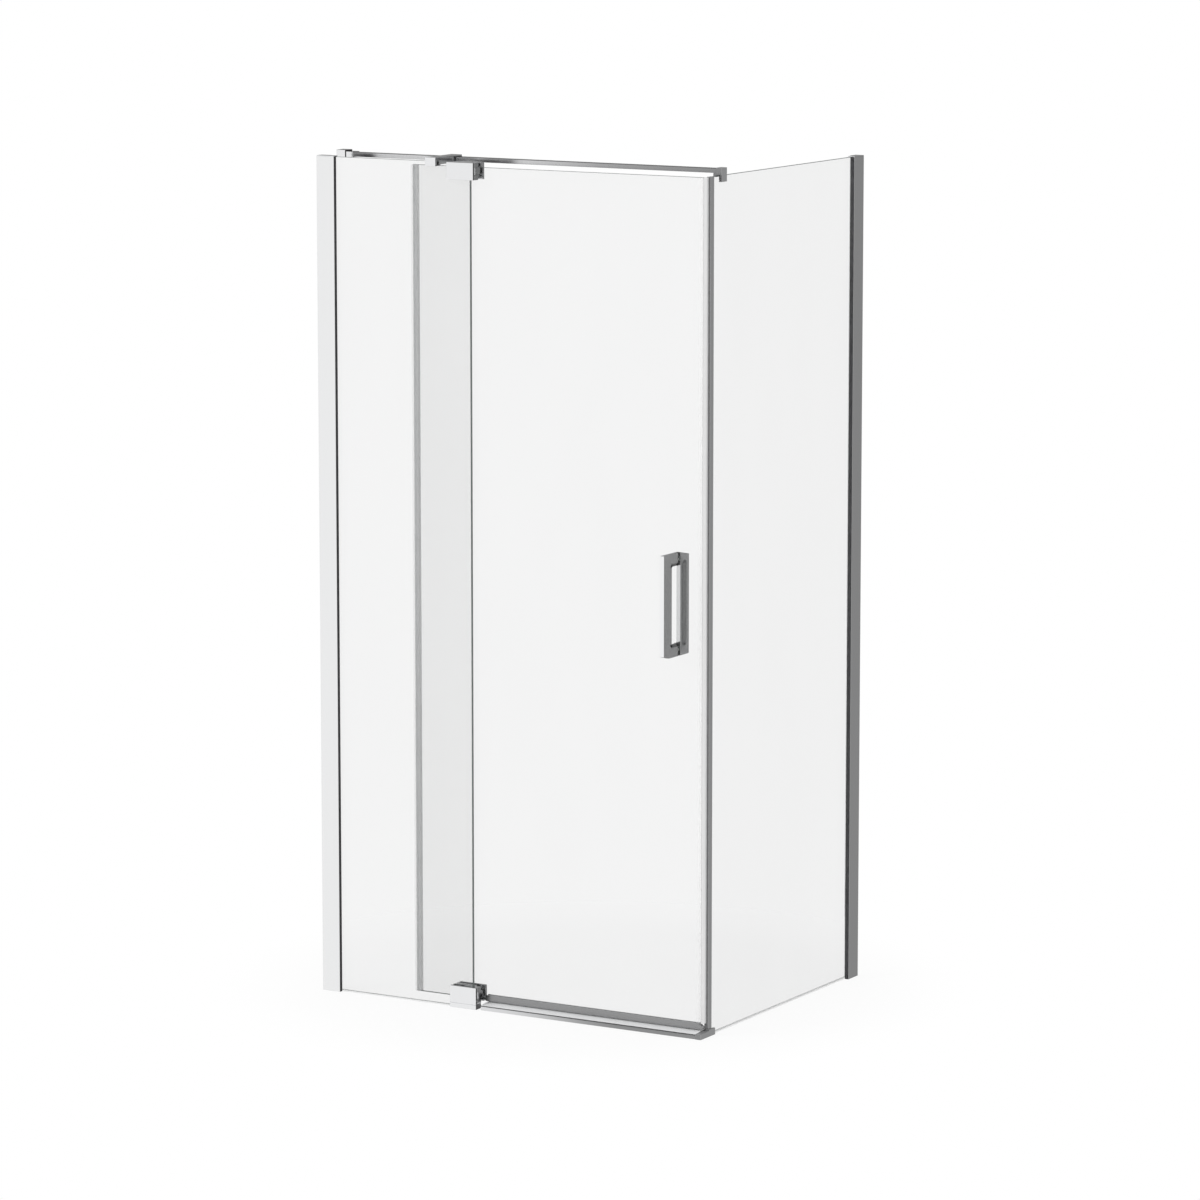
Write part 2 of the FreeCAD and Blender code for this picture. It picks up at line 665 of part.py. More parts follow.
def make_return_saddle():
    pad = s.gasket_thickness
    y_span = (s.header_front, header_back)
    body_bottom = return_top + pad
    body = box((saddle_left, saddle_right), y_span, (body_bottom, header_top + s.saddle_above))
    leg_bottom = return_top - s.saddle_drop
    leg = box((s.enclosure_width + pad, saddle_right), y_span, (leg_bottom, body_bottom))
    lip_left = saddle_left - s.saddle_leg
    lip_bottom = return_top - s.saddle_lip
    lip_top = header_bottom - s.saddle_play
    lip = box((lip_left, saddle_left), y_span, (lip_bottom, lip_top))
    shoulder = box((lip_left, saddle_left + pad), y_span, (body_bottom, lip_top))
    tongue = box((saddle_left - s.saddle_tongue, saddle_left), *around_header(-s.header_wall))
    sub_part("return_saddle", join(body, leg, lip, shoulder, tongue))

    outer_pad = box((s.enclosure_width, s.enclosure_width + pad), y_span, (leg_bottom, body_bottom))
    top_pad = box((return_inner, s.enclosure_width), y_span, (return_top, body_bottom))
    inner_pad = box((saddle_left, return_inner), y_span, (lip_bottom, body_bottom))
    sub_part("return_saddle_pads", join(outer_pad, top_pad, inner_pad))


def make_header_screws(arm_screw):
    bracket_z = (header_top, header_top + s.bracket_above)
    bracket_screw = rod("z", (s.bracket_length / 2, header_y), bracket_z, s.grub_radius)
    saddle_screw = rod("z", saddle_screw_place, header_lower_wall, s.grub_radius)
    sub_part("header_grub_screws", group(bracket_screw, arm_screw, saddle_screw))


# ------------------------------------------------------------------ pivot hinges


def make_hinge_cover(name, base):
    span = (base, base + s.block_height)
    cover = block((block_left, block_right), (cover_front, cover_back), span, s.edge_round)
    thread_y = (cover_back - s.cover_thickness / 2, cover_back)
    holes = [rod("y", (cover_bolt_x, z), thread_y, bolt_hole) for z in cover_bolt_zs(base)]
    sub_part(f"{name}_hinge_cover", cut(cover, *holes))


def make_hinge_body(name, base, web_z):
    """
    The metal on the shower side of the fixed pane. Its web passes through the corner
    cut-out, and web_z is the height of that web and of the pin in it.
    """
    height = (base, base + s.block_height)
    edge_gap = s.gasket_thickness
    recess_left = pivot_x - s.knuckle_radius - s.knuckle_gap
    plate = box((block_left, block_right), (plate_front, plate_back), height)
    web = box((notch_left + edge_gap, block_right), (cover_back, plate_front), web_z)
    nose = box((s.fixed_glass_edge + edge_gap, block_right), (cover_back, plate_front), height)
    lug_gap = (base + s.lug_height, base + s.block_height - s.lug_height)
    recess = box((recess_left, block_right), (cover_back, plate_back), lug_gap)
    pin_hole = rod("z", (pivot_x, pivot_y), web_z, s.pin_radius + s.fit_clearance)
    bolt_zs = cover_bolt_zs(base)
    head_y = (plate_back - s.bolt_head_height, plate_back)
    heads = [rod("y", (cover_bolt_x, z), head_y, head_hole) for z in bolt_zs]
    shanks = [rod("y", (cover_bolt_x, z), (plate_front, plate_back), bolt_hole) for z in bolt_zs]
    sub_part(f"{name}_hinge_body", cut(join(plate, web, nose), recess, pin_hole, *heads, *shanks))
    sub_part(f"{name}_pivot_pin", group(rod("z", (pivot_x, pivot_y), web_z, s.pin_radius)))


def make_hinge_gaskets(name, base, height):
    run = (block_left, notch_left)
    sheets = []
    for span in ((cover_back, 0), (glass, plate_front)):
        holes = [rod("y", (cover_bolt_x, z), span, bolt_hole) for z in cover_bolt_zs(base)]
        sheets.append(cut(box(run, span, height), *holes))
    sub_part(f"{name}_hinge_gaskets", group(*sheets))


def make_door_clamp(name, base, clamp_z, bridge_z, glass_z):
    """The barrel and the two plates that hold the door pane at one end."""
    low = base + s.lug_height
    high = base + s.block_height - s.lug_height
    barrel_z = (low + s.flange_height, high - s.knuckle_play)
    barrel = rod("z", (pivot_x, pivot_y), barrel_z, s.knuckle_radius)
    arm_x_span = (pivot_x - s.knuckle_radius, pivot_x + s.knuckle_radius)
    arm = box(arm_x_span, (pivot_y, clamp_outer_back), barrel_z)
    plate = box((block_left, clamp_left_edge), (clamp_outer_front, clamp_outer_back), clamp_z)
    neck = box((block_left, clamp_left_edge), (clamp_outer_back, door_front), bridge_z)
    bridge = box((block_left, block_right), (door_front, clamp_inner_front), bridge_z)
    bush_radius = s.pin_radius + s.fit_clearance + s.bush_wall
    bore = rod("z", (pivot_x, pivot_y), barrel_z, bush_radius + s.fit_clearance)
    bolt_z = CLAMP_BOLT_Z[name]
    thread_y = (clamp_outer_front + s.jamb_wall, clamp_outer_back)
    threads = [rod("y", (x, bolt_z), thread_y, bolt_hole) for x in clamp_bolt_xs]
    sub_part(f"{name}_door_clamp", cut(join(barrel, arm, plate, neck, bridge), bore, *threads))

    bush = join(
        rod("z", (pivot_x, pivot_y), barrel_z, bush_radius),
        rod("z", (pivot_x, pivot_y), (low + s.fit_clearance, low + s.flange_height), s.flange_radius),
    )
    bush_hole = rod("z", (pivot_x, pivot_y), (low, high), s.pin_radius + s.fit_clearance)
    sub_part(f"{name}_pivot_bush", cut(bush, bush_hole))

    plate_y = (clamp_inner_front, clamp_inner_back)
    back = block((block_left, block_right), plate_y, clamp_z, s.edge_round)
    shanks = [rod("y", (x, bolt_z), plate_y, bolt_hole) for x in clamp_bolt_xs]
    head_y = (clamp_inner_back - s.bolt_head_height, clamp_inner_back)
    heads = [rod("y", (x, bolt_z), head_y, head_hole) for x in clamp_bolt_xs]
    sub_part(f"{name}_door_clamp_plate", cut(back, *shanks, *heads))

    sheets = []
    for span in ((clamp_outer_back, door_front), (door_back, clamp_inner_front)):
        holes = [rod("y", (x, bolt_z), span, bolt_hole) for x in clamp_bolt_xs]
        sheets.append(cut(box((block_left, clamp_left_edge), span, glass_z), *holes))
    sub_part(f"{name}_door_gaskets", group(*sheets))


def make_hinges():
    low_top = low_block + s.block_height
    inset = s.notch_cover + s.gasket_thickness
    make_hinge_cover("top", high_block)
    make_hinge_body("top", high_block, (high_block + inset, s.fixed_glass_top))
    make_hinge_gaskets("top", high_block, (high_block, s.fixed_glass_top))
    make_hinge_cover("bottom", low_block)
    make_hinge_body("bottom", low_block, (low_block, low_top - inset))
    make_hinge_gaskets("bottom", low_block, (s.floor_seal, low_top))
    top_clamp_z = (high_block, s.fixed_glass_top)
    top_bridge_z = (door_top + s.gasket_thickness, s.fixed_glass_top)
    make_door_clamp("top", high_block, top_clamp_z, top_bridge_z, (high_block, door_top))
    low_clamp = low_block + s.clamp_lift
    low_bridge_z = (low_clamp, s.door_bottom)
    make_door_clamp("bottom", low_block, (low_clamp, low_top), low_bridge_z, (s.door_bottom, low_top))

    foot_z = (0, s.foot_height - s.foot_groove)
    foot = prism("z", rectangle((block_left, block_right), (cover_front, plate_back)), foot_z)
    seat_x = (block_left + s.foot_groove, block_right - s.foot_groove)
    seat_y = (cover_front + s.foot_groove, plate_back - s.foot_groove)
    seat = box(seat_x, seat_y, (foot_z[1], s.foot_height))
    slot = box((block_left, notch_left), (cover_back, plate_front), (s.floor_seal, s.foot_height))
    sub_part("bottom_hinge_foot", cut(join(round_edges(foot, "z", s.edge_round), seat), slot))


def make_bolt(x, z, shank, head):
    """A bolt along y, with a socket for its key in the face of its head."""
    whole = join(rod("y", (x, z), shank, s.bolt_radius), rod("y", (x, z), head, s.bolt_head_radius))
    socket = rod("y", (x, z), (head[1] - s.bolt_head_height / 2, head[1]), s.bolt_radius / 2)
    return cut(whole, socket)


def make_bolts_and_bushings():
    cover_centres = [(cover_bolt_x, z) for base in (low_block, high_block) for z in cover_bolt_zs(base)]
    shank = (cover_back - s.cover_thickness / 2, plate_back)
    head = (plate_back - s.bolt_head_height, plate_back)
    bolts = [make_bolt(x, z, shank, head) for x, z in cover_centres]
    sub_part("hinge_cover_bolts", group(*bolts))

    clamp_centres = [(x, z) for x in clamp_bolt_xs for z in CLAMP_BOLT_Z.values()]
    shank = (clamp_outer_front + s.jamb_wall, clamp_inner_back)
    head = (clamp_inner_back - s.bolt_head_height, clamp_inner_back)
    bolts = [make_bolt(x, z, shank, head) for x, z in clamp_centres]
    sub_part("door_clamp_bolts", group(*bolts))

    def bushing(centre, span):
        outer = rod("y", centre, span, s.bolt_hole_radius - s.fit_clearance)
        return cut(outer, rod("y", centre, span, bolt_hole))

    fixed = [bushing(centre, (0, glass)) for centre in cover_centres]
    sub_part("fixed_glass_bushings", group(*fixed))
    door_centres = clamp_centres + [(handle_x, z) for z in handle_bolt_zs]
    door = [bushing(centre, (door_front, door_back)) for centre in door_centres]
    sub_part("door_glass_bushings", group(*door))


# ------------------------------------------------------------------ sill and strike


def make_sill():
    inner_top = s.sill_height - s.sill_wall
    front_inside = s.sill_front + s.sill_wall
    groove_top = s.sill_front_height - s.sill_groove
    points = [
        (s.sill_front, 0),
        (front_inside, 0),
        (front_inside, s.sill_front_height - s.sill_wall),
        (s.sill_slope_end, inner_top),
        (s.sill_back - s.sill_wall, inner_top),
        (s.sill_back - s.sill_wall, 0),
        (s.sill_back, 0),
        (s.sill_back, s.sill_height),
        (s.sill_slope_end, s.sill_height),
        (s.sill_front, s.sill_front_height),
        (s.sill_front, groove_top),
        (s.sill_front + s.sill_groove, groove_top),
        (s.sill_front + s.sill_groove, groove_top - s.sill_groove),
        (s.sill_front, groove_top - s.sill_groove),
    ]
    sub_part("sill", prism("x", points, (block_right + s.sill_start, saddle_left)))


def make_sill_end_cap():
    run = (saddle_left, s.enclosure_width + s.cap_proud)
    front = box(run, (s.cap_front, s.cap_step), (0, s.cap_front_height))
    back = box(run, (s.cap_step, s.cap_back), (0, s.cap_height))
    slot_y = (s.strike_front + s.strike_web, s.cap_back)
    slot = box((return_inner, s.enclosure_width), slot_y, (0, s.cap_height))
    sub_part("sill_end_cap", cut(join(front, back), slot))


def make_strike():
    left = return_inner - s.strike_leg
    right = s.enclosure_width + s.strike_leg
    middle = s.enclosure_width - glass / 2
    groove = (middle - s.magnet_width / 2, middle + s.magnet_width / 2)
    groove_back = s.strike_front + s.magnet_depth
    web_back = s.strike_front + s.strike_web
    back = s.strike_front + s.strike_depth
    points = [
        (left, s.strike_front),
        (groove[0], s.strike_front),
        (groove[0], groove_back),
        (groove[1], groove_back),
        (groove[1], s.strike_front),
        (right, s.strike_front),
        (right, back),
        (s.enclosure_width, back),
        (s.enclosure_width, web_back),
        (return_inner, web_back),
        (return_inner, back),
        (left, back),
    ]
    height = (s.cap_height, return_top)
    sub_part("strike_profile", prism("z", points, height))
    magnet = prism("z", rectangle(groove, (s.strike_front, groove_back)), height)
    sub_part("strike_magnet", magnet)


# ------------------------------------------------------------------ door seals and rail

seal_front = door_front - s.seal_wall
seal_back = door_back + s.seal_wall
rail_bottom = s.door_bottom - s.rail_floor
rail_top = rail_bottom + s.rail_height
rail_start = pivot_x + s.rail_start


def make_latch_seal():
    carrier_left = door_right + s.seal_wall
    carrier_right = carrier_left + s.seal_carrier
    carrier_back = s.strike_front - s.soft_gap
    carrier_front = door_front + glass / 2
    points = [
        (door_right - s.seal_grip, seal_front),
        (carrier_left, seal_front),
        (carrier_right, carrier_front),
        (carrier_right, carrier_back),
        (carrier_left, carrier_back),
        (carrier_left, seal_back),
        (door_right - s.seal_grip, seal_back),
        (door_right - s.seal_grip, door_back),
        (door_right, door_back),
        (door_right, door_front),
        (door_right - s.seal_grip, door_front),
    ]
    height = (rail_top, door_top)
    magnet_x = (carrier_left + s.seal_wall, carrier_right - s.seal_wall)
    magnet_y = (carrier_back - s.seal_wall - s.magnet_depth, carrier_back - s.seal_wall)
    seal = prism("z", points, height)
    sub_part("door_latch_seal", cut(seal, box(magnet_x, magnet_y, height)))
    sub_part("door_magnet", prism("z", rectangle(magnet_x, magnet_y), height))


def make_pivot_seal():
    left = door_left - s.seal_wall
    right = door_left + s.seal_grip
    tip_x = left - s.seal_fin_reach
    tip_front = door_front + s.seal_fin_slope
    points = [
        (left, seal_back),
        (left, door_front + s.seal_wall),
        (tip_x, tip_front + s.seal_wall),
        (tip_x, tip_front),
        (left, door_front),
        (left, seal_front),
        (right, seal_front),
        (right, door_front),
        (door_left, door_front),
        (door_left, door_back),
        (right, door_back),
        (right, seal_back),
    ]
    sub_part("door_pivot_seal", prism("z", points, (s.door_bottom, door_top)))


def make_bottom_rail():
    run = (rail_start, door_right + s.rail_past_glass)
    slant_start = run[1] - s.rail_slant_length
    side = [
        (run[0], rail_bottom),
        (run[1], rail_bottom),
        (run[1], rail_top - s.rail_slant_height),
        (slant_start, rail_top),
        (run[0], rail_top),
    ]
    rail = prism("y", side, (door_front - s.rail_wall, door_back + s.rail_wall))
    slot = box((run[0], door_right), (door_front, door_back), (s.door_bottom, rail_top))
    sub_part("door_bottom_rail", cut(rail, slot))

    middle = door_front + glass / 2
    fin_y = (middle - s.sweep_thickness / 2, middle + s.sweep_thickness / 2)
    fin_z = (s.sill_height + s.soft_gap, rail_bottom)
    sub_part("door_sweep", prism("x", rectangle(fin_y, fin_z), (run[0], saddle_left - s.soft_gap)))


# ------------------------------------------------------------------ grips


def make_outer_grip():
    glass_end = door_front - s.handle_pad
    front = door_front - s.handle_reach
    window_front = front + s.handle_bar
    low = s.handle_bottom + s.handle_leg
    high = handle_top - s.handle_leg
    points = [
        (front, s.handle_bottom + s.handle_cut_height),
        (front + s.handle_cut_length, s.handle_bottom),
        (glass_end, s.handle_bottom),
        (glass_end, low),
        (window_front, low),
        (window_front, high),
        (glass_end, high),
        (glass_end, handle_top),
        (front, handle_top),
    ]
    grip = round_edges(prism("x", points, (handle_left, handle_right)), "x", s.handle_round)
    bevels = []
    for inside, away in ((low, -s.handle_bevel_height), (high, s.handle_bevel_height)):
        for face, inward in ((handle_left, s.handle_bevel_depth), (handle_right, -s.handle_bevel_depth)):
            wedge = [(face, inside), (face + inward, inside), (face, inside + away)]
            bevels.append(prism("y", wedge, (window_front, glass_end)))
    threads_y = (glass_end - s.handle_bolt_depth, glass_end)
    threads = [rod("y", (handle_x, z), threads_y, bolt_hole) for z in handle_bolt_zs]
    sub_part("outer_grip", cut(grip, *bevels, *threads))


def make_inner_grip():
    start = door_back + s.gasket_thickness
    end = start + s.inner_reach
    points = [
        (start, s.handle_bottom),
        (end, s.handle_bottom),
        (end, handle_top - s.inner_slope),
        (start, handle_top),
    ]
    grip = round_edges(prism("x", points, (handle_left, handle_right)), "x", s.handle_round)
    half_width = s.scoop_width / 2
    radius = (half_width * half_width + s.scoop_depth * s.scoop_depth) / (s.scoop_depth * 2)
    middle_y = start + s.inner_reach / 2
    low = s.handle_bottom + s.scoop_end + half_width
    high = handle_top - s.scoop_end - half_width
    scoops = []
    for centre_x in (handle_left + s.scoop_depth - radius, handle_right - s.scoop_depth + radius):
        scoops.append(rod("z", (centre_x, middle_y), (low, high), radius))
        scoops.append(ball((centre_x, middle_y, low), radius))
        scoops.append(ball((centre_x, middle_y, high), radius))
    threads_y = (start, start + s.handle_bolt_depth)
    threads = [rod("y", (handle_x, z), threads_y, bolt_hole) for z in handle_bolt_zs]
    sub_part("inner_grip", cut(grip, *scoops, *threads))


def make_grip_fixings():
    run = (handle_left, handle_right)
    leg_spans = (
        (s.handle_bottom, s.handle_bottom + s.handle_leg),
        (handle_top - s.handle_leg, handle_top),
    )
    pads = []
    for y_span in ((door_front - s.handle_pad, door_front), (door_back, door_back + s.gasket_thickness)):
        for z_span, bolt_z in zip(leg_spans, handle_bolt_zs):
            pads.append(cut(box(run, y_span, z_span), rod("y", (handle_x, bolt_z), y_span, bolt_hole)))
    sub_part("grip_pads", group(*pads))

    outer_end = door_front - s.handle_pad - s.handle_bolt_depth
    inner_end = door_back + s.gasket_thickness + s.handle_bolt_depth
    bolts = [rod("y", (handle_x, z), (outer_end, inner_end), s.bolt_radius) for z in handle_bolt_zs]
    sub_part("grip_bolts", group(*bolts))


# ------------------------------------------------------------------ the whole part

make_fixed_glass()
make_door_glass()
make_return_glass()
make_floor_seals()
fixed_place = (-MIDDLE_X, glass / 2 - MIDDLE_Y, 0)
make_wall_profile("left", s.fixed_glass_top, fixed_place, 0, 1)
return_place = (s.enclosure_width - glass / 2 - MIDDLE_X, s.enclosure_depth - MIDDLE_Y, 0)
make_wall_profile("back", return_top, return_place, -90, -1)
make_header_bar()
make_wall_bracket()
arm_screw = make_panel_arm()
make_return_saddle()
make_header_screws(arm_screw)
make_hinges()
make_bolts_and_bushings()
make_sill()
make_sill_end_cap()
make_strike()
make_latch_seal()
make_pivot_seal()
make_bottom_rail()
make_outer_grip()
make_inner_grip()
make_grip_fixings()
doc.recompute()

for thing in doc.Objects:
    if {"Invalid", "Error"} & set(thing.State):
        raise RuntimeError(f"{thing.Label} failed: {thing.State}")
for piece in sub_parts:
    if piece.Shape.isNull() or not piece.Shape.isValid() or not piece.Shape.Solids:
        raise RuntimeError(f"{piece.Label} has no valid shape")
for piece in sub_parts:
    piece.Shape.exportStep(f"parts/{piece.Label}.step")
print(len(sub_parts), "sub-parts written")
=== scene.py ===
import json
import math

import bmesh
import bpy
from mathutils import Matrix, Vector


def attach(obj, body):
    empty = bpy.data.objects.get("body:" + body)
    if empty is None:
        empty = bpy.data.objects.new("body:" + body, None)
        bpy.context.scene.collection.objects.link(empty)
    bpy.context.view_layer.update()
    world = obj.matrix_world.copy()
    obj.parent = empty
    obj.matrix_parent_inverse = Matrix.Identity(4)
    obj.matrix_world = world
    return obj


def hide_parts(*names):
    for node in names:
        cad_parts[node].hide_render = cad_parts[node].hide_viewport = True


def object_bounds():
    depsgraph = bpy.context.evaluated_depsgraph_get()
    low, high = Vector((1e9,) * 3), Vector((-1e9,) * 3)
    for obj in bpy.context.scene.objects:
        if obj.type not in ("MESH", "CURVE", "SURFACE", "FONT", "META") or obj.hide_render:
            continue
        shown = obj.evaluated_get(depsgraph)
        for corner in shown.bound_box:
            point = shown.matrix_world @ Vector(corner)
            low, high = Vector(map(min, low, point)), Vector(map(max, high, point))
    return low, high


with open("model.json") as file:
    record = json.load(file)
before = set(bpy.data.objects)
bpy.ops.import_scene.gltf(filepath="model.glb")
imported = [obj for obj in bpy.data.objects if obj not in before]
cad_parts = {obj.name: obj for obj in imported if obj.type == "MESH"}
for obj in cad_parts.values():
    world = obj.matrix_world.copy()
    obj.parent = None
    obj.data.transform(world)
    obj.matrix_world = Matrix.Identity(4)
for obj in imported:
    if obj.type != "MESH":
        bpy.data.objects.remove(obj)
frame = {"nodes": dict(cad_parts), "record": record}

MM = 0.001
X, Y, Z = range(3)
NODES = frame["nodes"]
BODY_OF = {node: body for body, nodes in frame["record"]["behaviour"]["bodies"].items() for node in nodes}


def corners(low_high):
    return [list(corner) for corner in low_high]


cad_box = corners(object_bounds())


# ------------------------------------------------------------------ camera

CAMERA_AZIMUTH = 30.24
CAMERA_ELEVATION = 8.98
CAMERA_DISTANCE = 12.989
CAMERA_AIM = Vector((0.031, 0.0, 0.940))
CAMERA_LENS = 163.46
SENSOR_WIDTH = 36.0
FARTHEST_SEEN = 100.0


def place_camera():
    azimuth = math.radians(CAMERA_AZIMUTH)
    elevation = math.radians(CAMERA_ELEVATION)
    outward = Vector((
        math.sin(azimuth) * math.cos(elevation),
        -math.cos(azimuth) * math.cos(elevation),
        math.sin(elevation),
    ))
    data = bpy.data.cameras.new("camera")
    data.lens = CAMERA_LENS
    data.sensor_width = SENSOR_WIDTH
    data.clip_end = FARTHEST_SEEN
    camera = bpy.data.objects.new("camera", data)
    camera.location = CAMERA_AIM + CAMERA_DISTANCE * outward
    camera.rotation_mode = "QUATERNION"
    camera.rotation_quaternion = (-outward).to_track_quat("-Z", "Y")
    bpy.context.scene.collection.objects.link(camera)
    bpy.context.scene.camera = camera


# ------------------------------------------------------------------ places in the frame


def span(node, axis):
    """Where a CAD node starts and ends along an axis, in metres."""
    places = [vertex.co[axis] for vertex in NODES[node].data.vertices]
    return min(places), max(places)


PART_LEFT, PART_RIGHT = cad_box[0][X], cad_box[1][X]
HINGE_EDGE, LATCH_EDGE = span("door_glass", X)
PANE_FRONT, PANE_BACK = span("door_glass", Y)
FREE_EDGE = span("fixed_glass", X)[1]
RAIL_START = span("door_bottom_rail", X)[0]
RAIL_TOP = span("door_bottom_rail", Z)[1]
SILL_START = span("sill", X)[0]
BRACKET_START = span("header_wall_bracket", X)[0]
GRIP_MIDDLE = sum(span("inner_grip", X)) / 2


# ------------------------------------------------------------------ node trees


class Wire:
    """One output of a node, which can be used in a sum as a number can."""

    def __init__(self, graph, socket):
        self.graph = graph
        self.socket = socket

    def _math(self, operation, first, second):
        return self.graph.node("ShaderNodeMath", {"operation": operation}, {0: first, 1: second})

    def __add__(self, other):
        return self._math("ADD", self, other)

    def __radd__(self, other):
        return self._math("ADD", other, self)

    def __sub__(self, other):
        return self._math("SUBTRACT", self, other)

    def __rsub__(self, other):
        return self._math("SUBTRACT", other, self)

    def __neg__(self):
        return self._math("SUBTRACT", 0.0, self)

    def __mul__(self, other):
        return self._math("MULTIPLY", self, other)

    def __rmul__(self, other):
        return self._math("MULTIPLY", other, self)

    def __gt__(self, other):
        return self._math("GREATER_THAN", self, other)

    def __lt__(self, other):
        return self._math("LESS_THAN", self, other)


def set_stops(elements, stops):
    """Give a colour ramp its stops, which are (position, colour) pairs."""
    while len(elements) < len(stops):
        elements.new(0.5)
    for element, (position, colour) in zip(elements, stops):
        element.position = position
        element.color = rgba(colour)


def rgba(colour):
    return colour if isinstance(colour, Wire) else (*colour, 1.0)


def cool(tone):
    """The red, green and blue of a grey with a trace of blue."""
    return tone, 1.004 * tone, 1.015 * tone


class Graph:
    """A node tree of a material, of the world or of a modifier."""

    def __init__(self, tree):
        self.tree = tree

    def node(self, kind, settings=None, inputs=None, output=0):
        """
        Add a node, set it up, fill its sockets and return the wire of one output. The
        setting stops is for a colour ramp, and a list of wires for a socket that takes many.
        """
        node = self.tree.nodes.new(kind)
        for name, value in (settings or {}).items():
            if name == "stops":
                set_stops(node.color_ramp.elements, value)
            else:
                setattr(node, name, value)
        for name, value in (inputs or {}).items():
            wires = [value] if isinstance(value, Wire) else value
            if isinstance(wires, list):
                for wire in wires:
                    self.tree.links.new(wire.socket, node.inputs[name])
            else:
                node.inputs[name].default_value = value
        return Wire(self, node.outputs[output]) if node.outputs else None

    def split(self, vector):
        """The x, y and z of a vector."""
        parts = self.node("ShaderNodeSeparateXYZ", inputs={0: vector}).socket.node.outputs
        return [Wire(self, part) for part in parts]

    def fade(self, value, start, end, low, high, curve="SMOOTHSTEP"):
        """A number that goes from low to high while value goes from start to end."""
        inputs = {"Value": value, "From Min": start, "From Max": end, "To Min": low, "To Max": high}
        return self.node("ShaderNodeMapRange", {"interpolation_type": curve}, inputs)

    def ramp(self, factor, stops):
        """A colour ramp whose stops are (position, colour) pairs."""
        return self.node("ShaderNodeValToRGB", {"stops": stops}, {0: factor})

    def blend(self, factor, first, second):
        """Mix two colours. A Mix node's sockets 6 and 7 and its output 2 are those for colours."""
        inputs = {0: factor, 6: rgba(first), 7: rgba(second)}
        return self.node("ShaderNodeMix", {"data_type": "RGBA"}, inputs, output=2)


# How far a surface has to face a way, where 1 is all the way.
TILTED = 0.2
MOSTLY = 0.5
SQUARELY = 0.9
LEVEL_FROM = 0.80
LEVEL_FULLY = 0.97
TURNED_FROM = 0.55
TURNED_FULLY = 0.95


class Finish(Graph):
    """A material whose look comes from nodes."""

    def __init__(self, name):
        self.material = bpy.data.materials.new(name)
        self.material.use_nodes = True
        super().__init__(self.material.node_tree)
        self.tree.nodes.clear()

    def place(self, stretch=(1.0, 1.0, 1.0)):
        """The place on the piece, in metres, stretched along each axis."""
        place = self.node("ShaderNodeTexCoord", output="Object")
        return self.node("ShaderNodeMapping", inputs={"Vector": place, "Scale": stretch})

    def facing(self):
        """The direction that the piece's own surface faces, split into x, y and z."""
        return self.split(self.node("ShaderNodeTexCoord", output="Normal"))

    def top_share(self):
        """1 where the surface faces up and 0 on its sides."""
        return self.fade(self.facing()[Z], LEVEL_FROM, LEVEL_FULLY, 0.0, 1.0)

    def cool_grey(self, tone):
        """The cool grey of a tone that varies over the surface."""
        red, green, blue = cool(tone)
        return self.node("ShaderNodeCombineColor", inputs={"Red": red, "Green": green, "Blue": blue})

    def noise(self, place, scale, detail=3.0):
        return self.node("ShaderNodeTexNoise", inputs={"Vector": place, "Scale": scale, "Detail": detail})

    def marks(self, stretch, detail=3.0):
        """Noise whose grain is as fine along each axis as stretch says, in grains per metre."""
        return self.noise(self.place(stretch), 1.0, detail)

    def bump(self, height, distance, strength):
        values = {"Height": height, "Distance": distance, "Strength": strength}
        return self.node("ShaderNodeBump", inputs=values)

    def surface(self, **values):
        """End the material in one shader. An underscore in a name stands for a space."""
        inputs = {name.replace("_", " "): value for name, value in values.items()}
        shader = self.node("ShaderNodeBsdfPrincipled", inputs=inputs)
        self.node("ShaderNodeOutputMaterial", inputs={"Surface": shader})
        return self.material


# ------------------------------------------------------------------ studio

WHITE = (1.0, 1.0, 1.0, 1.0)
AMBIENT_LIGHT = 0.80

# The studio's walls, and how far towards the back they fade, as the y of a direction.
FRONT_OF_STUDIO = 1.02
BACK_OF_STUDIO = 0.28
FAR_SHADE = 0.16
FRONT_UNTIL = -0.35
BACK_FROM = 0.45
FAR_SHADE_FROM = 0.88

KEY_PLACE = Vector((-4.5, -6.0, 5.0))
KEY_AIM = Vector((0.0, 0.0, 1.0))
KEY_SIZE = 4.0
KEY_POWER = 260.0

FLOOR_SIZE = 30.0
FLOOR_GAP = 0.5 * MM
FLOOR_DARKEST = 0.80
FLOOR_PALEST = 0.82
SHADOW_FADES_FROM = 0.55
SHADOW_ENDS_AT = 0.95
WHITENESS_IN_SHADOW = 0.90


def light_studio():
    """
    A pale studio. The camera sees white behind the panes, and polished metal sees a
    bright front and a darker back.
    """
    world = bpy.data.worlds.new("studio")
    world.use_nodes = True
    bpy.context.scene.world = world
    graph = Graph(world.node_tree)
    graph.tree.nodes.clear()
    towards_back = graph.split(graph.node("ShaderNodeTexCoord", output="Generated"))[Y]
    walls = graph.fade(towards_back, FRONT_UNTIL, BACK_FROM, FRONT_OF_STUDIO, BACK_OF_STUDIO)
    reflected = walls - graph.fade(towards_back, FAR_SHADE_FROM, 1.0, 0.0, FAR_SHADE, curve="LINEAR")
    seen = (graph.node("ShaderNodeLightPath", output="Is Camera Ray")
            + graph.node("ShaderNodeLightPath", output="Is Transmission Ray"))
    glossy = graph.node("ShaderNodeLightPath", output="Is Glossy Ray")
    unseen = reflected * glossy + (1.0 - glossy) * AMBIENT_LIGHT
    backdrop = graph.node("ShaderNodeClamp", inputs={0: seen})
    strength = backdrop + (1.0 - backdrop) * unseen
    background = graph.node("ShaderNodeBackground", inputs={"Color": WHITE, "Strength": strength})
    graph.node("ShaderNodeOutputWorld", inputs={"Surface": background})


